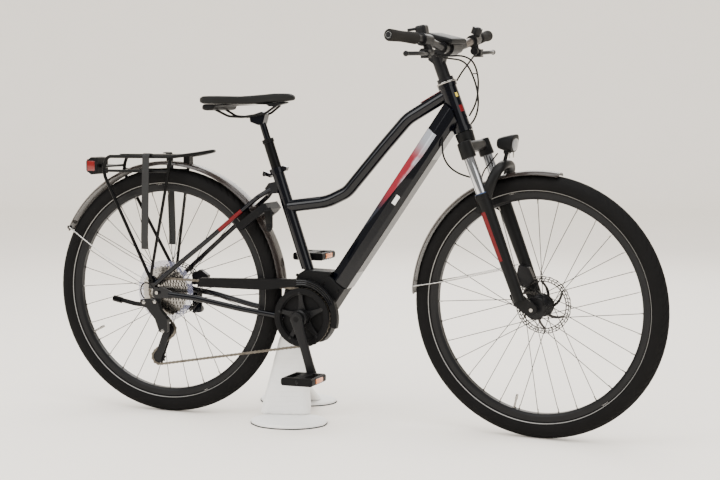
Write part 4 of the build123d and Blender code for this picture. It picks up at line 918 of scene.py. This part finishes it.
def build_seat(mats):
    """Padded saddle top, its lower shell, rails and the sprung post's collars."""
    pad = softened("saddle_cushion", ["saddle_pad"], 0.0035, 14, mats["saddle_cover"], "saddle")
    softened("saddle_base", ["saddle_shell"], 0.0035, 6, mats["moulded_nylon"], "saddle")
    paint(["saddle_rails"], mats["powder_coat"])
    collars = []
    for d in (0.386, 0.3915):
        a = SEAT_FOOT + SEAT_AXIS * d
        collars.append(rod_part(a - SEAT_AXIS * 0.0016, a + SEAT_AXIS * 0.0016, 0.0173, sides=48, soften=0.0005))
    new_piece("post_collar_rings", merged(collars), mats["moulded_nylon"], "post")


def build_rack(mats):
    """Rack, straps, mudguards and rear light."""
    paint(["rear_rack"], mats["powder_coat"])
    paint(["rack_straps"], mats["elastic_band"])
    paint(["rear_light"], mats["moulded_nylon"])
    new_piece("rear_light_lens", pad_part([-0.7045, 0, 0.7260], (0.0055, 0.056, 0.040), 0.0026), mats["red_lens"],
              "frame")
    side = [pad_part([-0.690, s * 0.0312, 0.7260], (0.026, 0.003, 0.030), 0.0014) for s in (1, -1)]
    new_piece("rear_light_windows", merged(side), mats["red_lens"], "frame")
    new_piece("rear_mudguard", fender_blade(FENDER_CENTRE, 0.374, 4, 154), mats["smoked_polycarbonate"], "frame",
              ["rear_fender"], smooth=50)
    stays = [tube_part(smooth_path([(-0.767, s * 0.033, 0.541), (-0.700, s * 0.0485, 0.502), (-0.620, s * 0.060, 0.455),
                                    (-0.540, s * 0.063, 0.418), (-0.470, s * 0.066, 0.385)], 60), STAY_RADIUS, 10)
             for s in (1, -1)]
    clips = [pad_part([-0.768, s * 0.0292, 0.5405], (0.014, 0.007, 0.010), 0.0024) for s in (1, -1)]
    new_piece("rear_mudguard_stays", merged(stays), mats["nickel_plate"], "frame")
    new_piece("rear_mudguard_clips", merged(clips), mats["moulded_nylon"], "frame")


def leg_at(distance, side):
    """Point on a fork leg's axis, at a distance along the steering axis."""
    return on_axis(STEER_POINT, STEER_AXIS, distance, side * LEG_SIDE, LEG_AHEAD)


def build_fork(mats):
    """Crown, sockets, chromed inner tubes, seals, red panels and the brace over the wheel."""
    v, f = pad_part([0, 0, 0], (0.043, 0.116, 0.029), 0.011, steps=8)
    crown_at = on_axis(STEER_POINT, STEER_AXIS, -0.118, 0, 0.010)
    crown = [(crown_at + v[:, :1] * STEER_SQUARE + v[:, 1:2] * ACROSS + v[:, 2:] * STEER_AXIS, f),
             rod_part(on_axis(STEER_POINT, STEER_AXIS, -0.104), on_axis(STEER_POINT, STEER_AXIS, -0.0732), 0.024,
                      0.0258, sides=64, soften=0.002),
             rod_part(on_axis(STEER_POINT, STEER_AXIS, -0.104), on_axis(STEER_POINT, STEER_AXIS, 0.086), 0.0158,
                      sides=40)]
    tubes, rings, collars, panels = [], [], [], []
    along = np.linspace(-0.300, -0.440, 20)
    width = np.interp(along, [-0.556, -0.252], [0.0155, 0.0205])
    for s in (1, -1):
        crown.append(rod_part(leg_at(-0.1495, s), leg_at(-0.1030, s), 0.0208, 0.0196, 56, 0.003))
        tubes.append(rod_part(leg_at(-0.380, s), leg_at(-0.115, s), 0.015, sides=56))
        rings.append(rod_part(leg_at(-0.2535, s), leg_at(-0.2490, s), 0.0200, 0.0188, 56, 0.0012))
        collars.append(rod_part(leg_at(-0.266, s), leg_at(-0.2535, s), 0.0212, 0.0208, 56, 0.001))
        panels.append(wrap_part(np.stack([leg_at(d, s) for d in along]), width, 118 * s - 26, 118 * s + 26, ACROSS, 16))
    new_piece("fork_crown_bridge", merged(crown), mats["satin_lacquer"], "steering", ["fork_crown"],
              turn=True)
    new_piece("fork_inner_tubes", merged(tubes), mats["hard_chrome"], "steering", turn=True)
    new_piece("fork_seal_rings", merged(rings), mats["blue_ring"], "lower_fork", turn=True)
    new_piece("fork_seal_collars", merged(collars), mats["satin_lacquer"], "lower_fork", turn=True)
    new_piece("fork_red_panels", merged(panels), mats["red_decal"], "lower_fork", turn=True)
    paint(["fork_lowers"], mats["satin_lacquer"])
    route = [(0.531, 0.065, 0.618), (0.547, 0.064, 0.655), (0.565, 0.060, 0.706), (0.578, 0.041, 0.737),
             (0.583, 0.0, 0.748)]
    arch = smooth_path(np.array([[x, -y, z] for x, y, z in route] + route[-2::-1]), 90)
    _, side_v, up_v = path_frames(arch, AHEAD)
    turn = np.linspace(0, 2 * np.pi, 24, endpoint=False)
    flat = 0.0085 + 0.0025 * np.cos(np.linspace(-1.5, 1.5, 90)) ** 2
    ring = (flat[:, None, None] * np.cos(turn)[:, None] * side_v[:, None]
            + 0.0150 * (np.sign(np.sin(turn)) * np.abs(np.sin(turn)) ** 0.7)[:, None] * up_v[:, None])
    new_piece("fork_arch_blade", grid_part(arch[:, None] + ring, close_v=True, cap=True), mats["satin_lacquer"],
              "lower_fork", turn=True)


def build_front(mats):
    """Fork, front mudguard, headlight, bars and hoses."""
    build_fork(mats)
    new_piece("front_mudguard", fender_blade(FRONT, 0.371, 80, 177), mats["smoked_polycarbonate"], "lower_fork",
              ["front_fender"], smooth=50, turn=True)
    stays = [tube_part(smooth_path([(0.318, s * 0.033, 0.404), (0.384, s * 0.0385, 0.4165), (0.450, s * 0.043, 0.431),
                                    (0.524, s * 0.0449, 0.4490), (0.598, s * 0.0468, 0.4674)], 60), STAY_RADIUS, 10)
             for s in (1, -1)]
    new_piece("front_mudguard_stays", merged(stays), mats["nickel_plate"], "lower_fork", turn=True)
    build_headlight(mats)
    build_bars(mats)
    build_hoses(mats)


def build_headlight(mats):
    """Lamp housing: rounded-square sections that widen towards the lens, on a bracket with two bright tabs."""
    t = np.array([0.0, 0.02, 0.10, 0.35, 0.70, 0.94, 0.99, 1.0])
    high = np.array([0.004, 0.010, 0.0145, 0.0185, 0.0225, 0.0245, 0.0240, 0.0225])
    wide = np.array([0.004, 0.012, 0.0175, 0.0215, 0.0250, 0.0268, 0.0262, 0.0245])
    a = np.linspace(0, 2 * np.pi, 48, endpoint=False)
    round_y = np.sign(np.cos(a)) * np.abs(np.cos(a)) ** 0.7
    round_z = np.sign(np.sin(a)) * np.abs(np.sin(a)) ** 0.7
    shell = np.stack([0.559 + 0.050 * t[:, None] + 0.004 * round_z * t[:, None], wide[:, None] * round_y,
                      0.8035 + high[:, None] * round_z], -1)
    bracket = [tube_part(smooth_path([(0.573, s * 0.006, 0.744), (0.580, s * 0.006, 0.760),
                                      (0.586, s * 0.006, 0.784)], 20), 0.0032, 12) for s in (1, -1)]
    bracket.append(pad_part([0.5865, 0, 0.781], (0.016, 0.022, 0.012), 0.003))
    new_piece("headlight_shell", merged([grid_part(shell, close_v=True, cap=True)] + bracket), mats["moulded_nylon"],
              "lower_fork", ["headlight"], turn=True)
    tabs = [pad_part([0.598, s * 0.016, 0.772], (0.0022, 0.0055, 0.016), 0.0008, steps=3) for s in (1, -1)]
    new_piece("headlight_tabs", merged(tabs), mats["nickel_plate"], "lower_fork", turn=True)
    lens = turned_part([(0.0, 0.0), (0.0196, 0.0), (0.0202, 0.0008), (0.0190, 0.0014), (0.010, 0.0020), (0.0, 0.0022)],
                       np.zeros(3), 64)
    across = np.stack([lens[0][:, 1] + 0.08 * lens[0][:, 2], lens[0][:, 0] * 1.1, lens[0][:, 2]], -1)
    new_piece("headlight_lens", (across + [0.6085, 0, 0.8035], lens[1]), mats["clear_lens"], "lower_fork",
              turn=True)


def build_bars(mats):
    """Handlebar finish, ribbed grips with end rings, display and bell."""
    paint(["stem", "bar_controls", "brake_lever_left", "brake_lever_right", "handlebar"], mats["black_anodised"])
    sleeve = np.linspace([0.4216, 0.092, 1.0686], [0.4234, 0.134, 1.0768], 12)
    new_piece("bar_bare_length", wrap_part(sleeve, 0.0111, 0, 358, steps=48), mats["grey_bar"], "steering",
              turn=True)
    start, end = np.array([0.418, 0.215, 1.087]), np.array([0.396, 0.340, 1.096])
    grips, plugs = [], []
    for s in (1, -1):
        a, b = start * [1, s, 1], end * [1, s, 1]
        d = (b - a) / np.linalg.norm(b - a)
        t = np.linspace(0, 1, 150)
        length = np.linalg.norm(b - a) - 0.0055
        path = a + d * (0.004 + t[:, None] * length)
        round_off = np.minimum(1, np.minimum(t, 1 - t) * length / 0.0025)
        ribs = 0.0004 * (0.5 + 0.5 * np.cos(t * length / 0.004 * 2 * np.pi))
        rims = 0.0025 * (1 - np.sqrt(np.maximum(1 - (1 - round_off) ** 2, 0)))
        radius = 0.0152 + 0.0008 * np.cos(t * np.pi * 2) - ribs - rims
        grips.append(tube_part(path, radius, 40))
        v, f = turned_part([(0.0072, 0.0), (0.0082, 0.0007), (0.0092, 0.0), (0.0092, -0.0012), (0.0072, -0.0012)],
                           np.zeros(3), 40)
        flat = np.cross(d, UP) / np.linalg.norm(np.cross(d, UP))
        plugs.append((b - d * 0.0006 + v[:, :1] * flat + v[:, 1:2] * d + v[:, 2:] * np.cross(flat, d), f))
    new_piece("grip_sleeves", merged(grips), mats["grip_rubber"], "steering", ["grips"], turn=True)
    new_piece("grip_end_plugs", merged(plugs), mats["white_label"], "steering", turn=True)
    case = pad_part([0.409, 0, 1.0865], (0.080, 0.112, 0.017), 0.0075, steps=7, tilt=-0.24)
    new_piece("display_case", case, mats["moulded_nylon"], "steering", ["display"], turn=True)
    glass = pad_part([0.4065, 0, 1.0945], (0.066, 0.096, 0.003), 0.0014, steps=4, tilt=-0.24)
    new_piece("display_screen", glass, mats["screen_glass"], "steering", turn=True)
    bell = [(0.0, 0.0110), (0.007, 0.0104), (0.0118, 0.0078), (0.0142, 0.003), (0.0146, -0.001), (0.0146, -0.004),
            (0.0, -0.004)]
    v, f = turned_part(bell, np.zeros(3), 64)
    dome = np.stack([v[:, 0], v[:, 2], v[:, 1]], -1)
    new_piece("bell_dome", (dome + [0.4285, 0.176, 1.1085], f), mats["black_anodised"], "steering",
              turn=True)


def build_hoses(mats):
    """Every brake hose, shift cable and light lead along its route, and the tie that holds two together."""
    jacket = mats["hose_jacket"]
    make_cord("brake_hose_to_frame", [(421, -134, 1038), (438, -102, 1031), (452, -68, 1029), (462, -38, 1027),
                                      (475, -18, 1014), (487, -12, 988), (498, -10, 957), (504, -9, 918),
                                      (500, -8, 885), (489, -8, 861), (481, -8, 854)],
              HOSE_RADIUS, "brake_hose_right", jacket,
              bend=("steering", "frame", (0.470, -0.030, 1.010), (0.498, -0.009, 0.885)))
    make_cord("shift_cable_to_frame", [(380, -128, 1078), (388, -112, 1054), (408, -88, 1040), (434, -58, 1037),
                                       (459, -24, 1040), (477, 4, 1031), (489, 9, 1012), (497, 9, 982), (498, 7, 950),
                                       (494, 6, 919), (484, 6, 893), (471, 6, 874)],
              HOSE_RADIUS, "shift_cable", jacket,
              bend=("steering", "frame", (0.477, 0.004, 1.020), (0.490, 0.006, 0.905)))
    make_cord("brake_hose_to_stem", [(452, 126, 1046), (450, 100, 1033), (445, 70, 1014), (437, 44, 993),
                                     (429, 30, 972)], HOSE_RADIUS, "brake_hose_left", jacket, "steering")
    make_cord("brake_hose_to_fork", [(412, -42, 818), (413, -48, 792), (418, -51, 764), (434, -49, 738),
                                     (458, -39, 720), (484, -18, 710), (499, 10, 702), (503, 37, 685), (511, 53, 664),
                                     (531, 62, 642)],
              HOSE_RADIUS, "fork_hose", jacket,
              bend=("steering", "lower_fork", (0.425, -0.045, 0.770), (0.508, 0.055, 0.670)))
    make_cord("headlight_lead", [(560, -14, 776), (549, -20, 760), (537, -28, 743), (526, -36, 727), (523, -42, 709)],
              LEAD_RADIUS, "light_cable", jacket, "lower_fork")
    make_cord("changer_cable", [(-452, -89, 372), (-464, -90, 389), (-484, -91, 391), (-496, -90, 374),
                                (-494, -88, 352), (-486, -84, 343.5)], LEAD_RADIUS, "derailleur_cable", jacket, "frame")
    tie = turned_part([(0.0098, 0.0014), (0.0106, 0.001), (0.0106, -0.001), (0.0098, -0.0014), (0.0090, -0.001),
                       (0.0090, 0.001)], np.zeros(3), 48)
    ring = np.stack([tie[0][:, 0] * 0.55, tie[0][:, 2] * 1.35, tie[0][:, 1]], -1)
    new_piece("hose_tie", (ring + [0.4915, -0.0010, 0.991], tie[1]), mats["moulded_nylon"], "steering")


def build_stand(mats):
    """Wrapped display stand: soft-edged legs and cradle, and two oval pads, r (1 - small waves of the angle)."""
    tape = mats["gauze_tape"]
    softened("stand_wrapped_legs", ["stand_legs", "stand_cradle"], 0.006, 10, tape, "frame")
    pads, soles = [], []
    for centre, radii in (((-0.042, -0.050), (0.113, 0.100)), ((-0.149, 0.269), (0.123, 0.091))):
        a = np.linspace(0, 2 * np.pi, 140, endpoint=False)
        wobble = 1 - 0.006 * (1 + np.sin(7 * a + centre[1] * 9)) - 0.004 * (1 + np.sin(13 * a))
        profile = [(0.0, 0.0120), (0.72, 0.0124), (0.90, 0.0116), (0.965, 0.0098), (0.985, 0.0066), (0.985, 0.0030),
                   (0.96, 0.0016), (0.0, 0.0016)]
        sole = [(0.0, 0.0030), (0.985, 0.0030), (1.0, 0.0020), (1.0, 0.0), (0.0, 0.0)]
        for store, rows in ((pads, profile), (soles, sole)):
            share, z = np.array(rows).T
            points = np.stack([centre[0] + share[:, None] * radii[0] * np.cos(a) * wobble,
                               centre[1] + share[:, None] * radii[1] * np.sin(a) * wobble,
                               np.repeat(z[:, None], len(a), 1)], -1)
            store.append(grid_part(points, close_v=True))
    new_piece("stand_wrapped_pads", merged(pads), tape, "frame", ["stand_feet"])
    new_piece("stand_pad_soles", merged(soles), mats["tyre_rubber"], "frame")


def paper_roll(tone):
    """Matte background paper: one warm tone with faint, broad unevenness."""
    paper = bpy.data.materials.new("paper_roll")
    paper.use_nodes = True
    tree = paper.node_tree
    shader = tree.nodes["Principled BSDF"]
    place = add(tree, "ShaderNodeTexCoord")
    noise = add(tree, "ShaderNodeTexNoise", {"Vector": place.outputs["Object"]}, i_Scale=3.0, i_Detail=3.0)
    mix = add(tree, "ShaderNodeMix", {"Factor": noise.outputs["Fac"]}, data_type="RGBA")
    mix.inputs["A"].default_value = linear(hex_code(tone, 0.985))
    mix.inputs["B"].default_value = linear(hex_code(tone, 1.0))
    tree.links.new(mix.outputs["Result"], shader.inputs["Base Color"])
    shader.inputs["Roughness"].default_value = 0.85
    shader.inputs["Specular IOR Level"].default_value = 0.2
    return paper


def hex_code(tone, share):
    """An sRGB tone, darkened to a share of itself, as a hex code."""
    return "#" + "".join(f"{int(max(0, min(1, c * share)) * 255):02x}" for c in tone)


def build_backdrop(tone):
    """Floor that runs back, turns up in a quarter circle of the sweep's radius and goes on as a wall."""
    start, sweep, height, reach = 9.0, 3.0, 12.0, 34.0
    forward = np.array([-math.sin(CAMERA_TURN), math.cos(CAMERA_TURN)])
    right = np.array([forward[1], -forward[0]])
    turn = np.linspace(0, 1, 24) * np.pi / 2
    run = np.concatenate([np.linspace(-12, start, 6)[:-1], start + sweep * np.sin(turn), [start + sweep] * 2])
    rise = np.concatenate([np.zeros(5), sweep * (1 - np.cos(turn)), [height / 2, height]])
    across = np.linspace(-reach, reach, 5)
    points = np.stack([run[:, None] * forward[0] + across * right[0], run[:, None] * forward[1] + across * right[1],
                       np.repeat(rise[:, None] - 0.0002, 5, 1)], -1)
    verts, faces = grid_part(points)
    mesh = bpy.data.meshes.new("Backdrop")
    mesh.from_pydata(verts.tolist(), [], faces[0].tolist())
    mesh.shade_smooth()
    mesh.materials.append(paper_roll(tone))
    backdrop = bpy.data.objects.new("Backdrop", mesh)
    bpy.context.scene.collection.objects.link(backdrop)
    return backdrop


def build_lights(settings):
    """Four soft panels round the bicycle and an even room light."""
    made = []
    for name, at, size, power in (("Overhead", (0.2, -0.6, 4.2), 4.5, settings.top_power),
                                  ("Key", (-2.6, -3.8, 2.9), 2.4, settings.key_power),
                                  ("Fill", (4.2, -2.6, 2.0), 3.0, settings.fill_power),
                                  ("Back", (-0.6, 3.8, 3.0), 3.0, settings.back_power)):
        light = bpy.data.lights.new(name, "AREA")
        light.size = size
        light.energy = power
        obj = bpy.data.objects.new(name, light)
        obj.location = at
        obj.rotation_euler = (LIT_POINT - Vector(at)).to_track_quat("-Z", "Y").to_euler()
        obj.visible_camera = False
        bpy.context.scene.collection.objects.link(obj)
        made.append(obj)
    world = bpy.data.worlds.new("Studio")
    world.use_nodes = True
    background = world.node_tree.nodes["Background"]
    background.inputs["Color"].default_value = linear("#f1eeea")
    # The studio behind the camera is dark, so polished black mirrors far less light than falls on the floor.
    ray = add(world.node_tree, "ShaderNodeLightPath")
    dim = add(world.node_tree, "ShaderNodeMapRange", {"Value": ray.outputs["Is Glossy Ray"]})
    dim.inputs["To Min"].default_value = settings.room_light
    dim.inputs["To Max"].default_value = settings.room_light * 0.16
    world.node_tree.links.new(dim.outputs["Result"], background.inputs["Strength"])
    bpy.context.scene.world = world
    return made


def build_stage(settings):
    """Pale seamless floor and backdrop, soft lights and the camera."""
    camera = bpy.data.cameras.new("Camera")
    camera.lens = 78.0
    camera.sensor_width = 36.0
    view = bpy.data.objects.new("Camera", camera)
    view.location = CAMERA_AT
    view.rotation_euler = (math.pi / 2 - CAMERA_DIP, 0, CAMERA_TURN)
    bpy.context.scene.collection.objects.link(view)
    bpy.context.scene.camera = view
    build_backdrop(settings.floor_tone)
    build_lights(settings)


# ---- add-on --------------------------------------------------------------
class BicycleSettings(bpy.types.PropertyGroup):
    """Sizes of the tread."""
    tread_depth: FloatProperty(name="Tread depth", description="Depth of the grooves cut in the tyre", default=0.0022,
                               min=0.0, max=0.003, unit="LENGTH", subtype="DISTANCE")
    tread_blocks: IntProperty(name="Tread blocks", description="Number of tread blocks round the tyre", default=86,
                              min=40, max=160)


class StudioSettings(bpy.types.PropertyGroup):
    """Floor tone and light powers."""
    floor_tone: FloatVectorProperty(name="Floor tone", description="Display colour of the paper roll",
                                    default=(0.90, 0.88, 0.85), size=3, subtype="COLOR_GAMMA", min=0.0, max=1.0)
    top_power: FloatProperty(name="Overhead", description="Power of the overhead light", default=230.0, unit="POWER")
    key_power: FloatProperty(name="Key", description="Power of the light on the left", default=105.0, unit="POWER")
    fill_power: FloatProperty(name="Fill", description="Power of the light on the right", default=60.0, unit="POWER")
    back_power: FloatProperty(name="Back", description="Power of the light behind", default=90.0, unit="POWER")
    room_light: FloatProperty(name="Room light", description="Strength of the even light", default=2.5)


FINISHES = {}


def finishes():
    """The finishes, made once."""
    if not FINISHES:
        FINISHES.update(make_finishes())
    return FINISHES


class BICYCLE_OT_wheels(bpy.types.Operator):
    """Build the tyres, hubs and brake discs"""
    bl_idname = "bicycle.wheels"
    bl_label = "Wheels"

    def execute(self, context):
        build_wheels(context.scene.bicycle_settings, finishes())
        return {"FINISHED"}


class BICYCLE_OT_drive(bpy.types.Operator):
    """Build the chain, cogs, cranks, pedals and motor"""
    bl_idname = "bicycle.drive"
    bl_label = "Drive"

    def execute(self, context):
        build_drive(finishes())
        return {"FINISHED"}


class BICYCLE_OT_frame(bpy.types.Operator):
    """Finish the frame and its printed panels"""
    bl_idname = "bicycle.frame"
    bl_label = "Frame"

    def execute(self, context):
        build_frame(finishes())
        return {"FINISHED"}


class BICYCLE_OT_seat(bpy.types.Operator):
    """Build the padded saddle"""
    bl_idname = "bicycle.seat"
    bl_label = "Saddle"

    def execute(self, context):
        build_seat(finishes())
        return {"FINISHED"}


class BICYCLE_OT_rack(bpy.types.Operator):
    """Build the rack, mudguard and rear light"""
    bl_idname = "bicycle.rack"
    bl_label = "Rack"

    def execute(self, context):
        build_rack(finishes())
        return {"FINISHED"}


class BICYCLE_OT_front(bpy.types.Operator):
    """Build the fork, bars, headlight and hoses"""
    bl_idname = "bicycle.front"
    bl_label = "Front end"

    def execute(self, context):
        build_front(finishes())
        return {"FINISHED"}


class BICYCLE_OT_stand(bpy.types.Operator):
    """Build the wrapped display stand"""
    bl_idname = "bicycle.stand"
    bl_label = "Display stand"

    def execute(self, context):
        build_stand(finishes())
        return {"FINISHED"}


class BICYCLE_OT_stage(bpy.types.Operator):
    """Build the floor, lights and camera"""
    bl_idname = "bicycle.stage"
    bl_label = "Studio"

    def execute(self, context):
        build_stage(context.scene.studio_settings)
        return {"FINISHED"}


STEPS = [BICYCLE_OT_wheels, BICYCLE_OT_drive, BICYCLE_OT_frame, BICYCLE_OT_seat,
         BICYCLE_OT_rack, BICYCLE_OT_front, BICYCLE_OT_stand, BICYCLE_OT_stage]


class BICYCLE_PT_panel(bpy.types.Panel):
    """Buttons for every step and its settings."""
    bl_label = "Bicycle"
    bl_space_type = "VIEW_3D"
    bl_region_type = "UI"
    bl_category = "Bicycle"

    def draw(self, context):
        for group in ("bicycle_settings", "studio_settings"):
            for name in type(getattr(context.scene, group)).__annotations__:
                self.layout.prop(getattr(context.scene, group), name)
        for step in STEPS:
            self.layout.operator(step.bl_idname)


CLASSES = [BicycleSettings, StudioSettings, *STEPS, BICYCLE_PT_panel]


def register():
    """Register the add-on's classes and settings."""
    for item in CLASSES:
        bpy.utils.register_class(item)
    bpy.types.Scene.bicycle_settings = PointerProperty(type=BicycleSettings)
    bpy.types.Scene.studio_settings = PointerProperty(type=StudioSettings)


def unregister():
    """Remove them again."""
    del bpy.types.Scene.studio_settings
    del bpy.types.Scene.bicycle_settings
    for item in reversed(CLASSES):
        bpy.utils.unregister_class(item)


def main():
    """Build every group through its operator."""
    register()
    for step in STEPS:
        getattr(bpy.ops.bicycle, step.bl_idname.split(".")[1])()


if __name__ == "__main__":
    main()
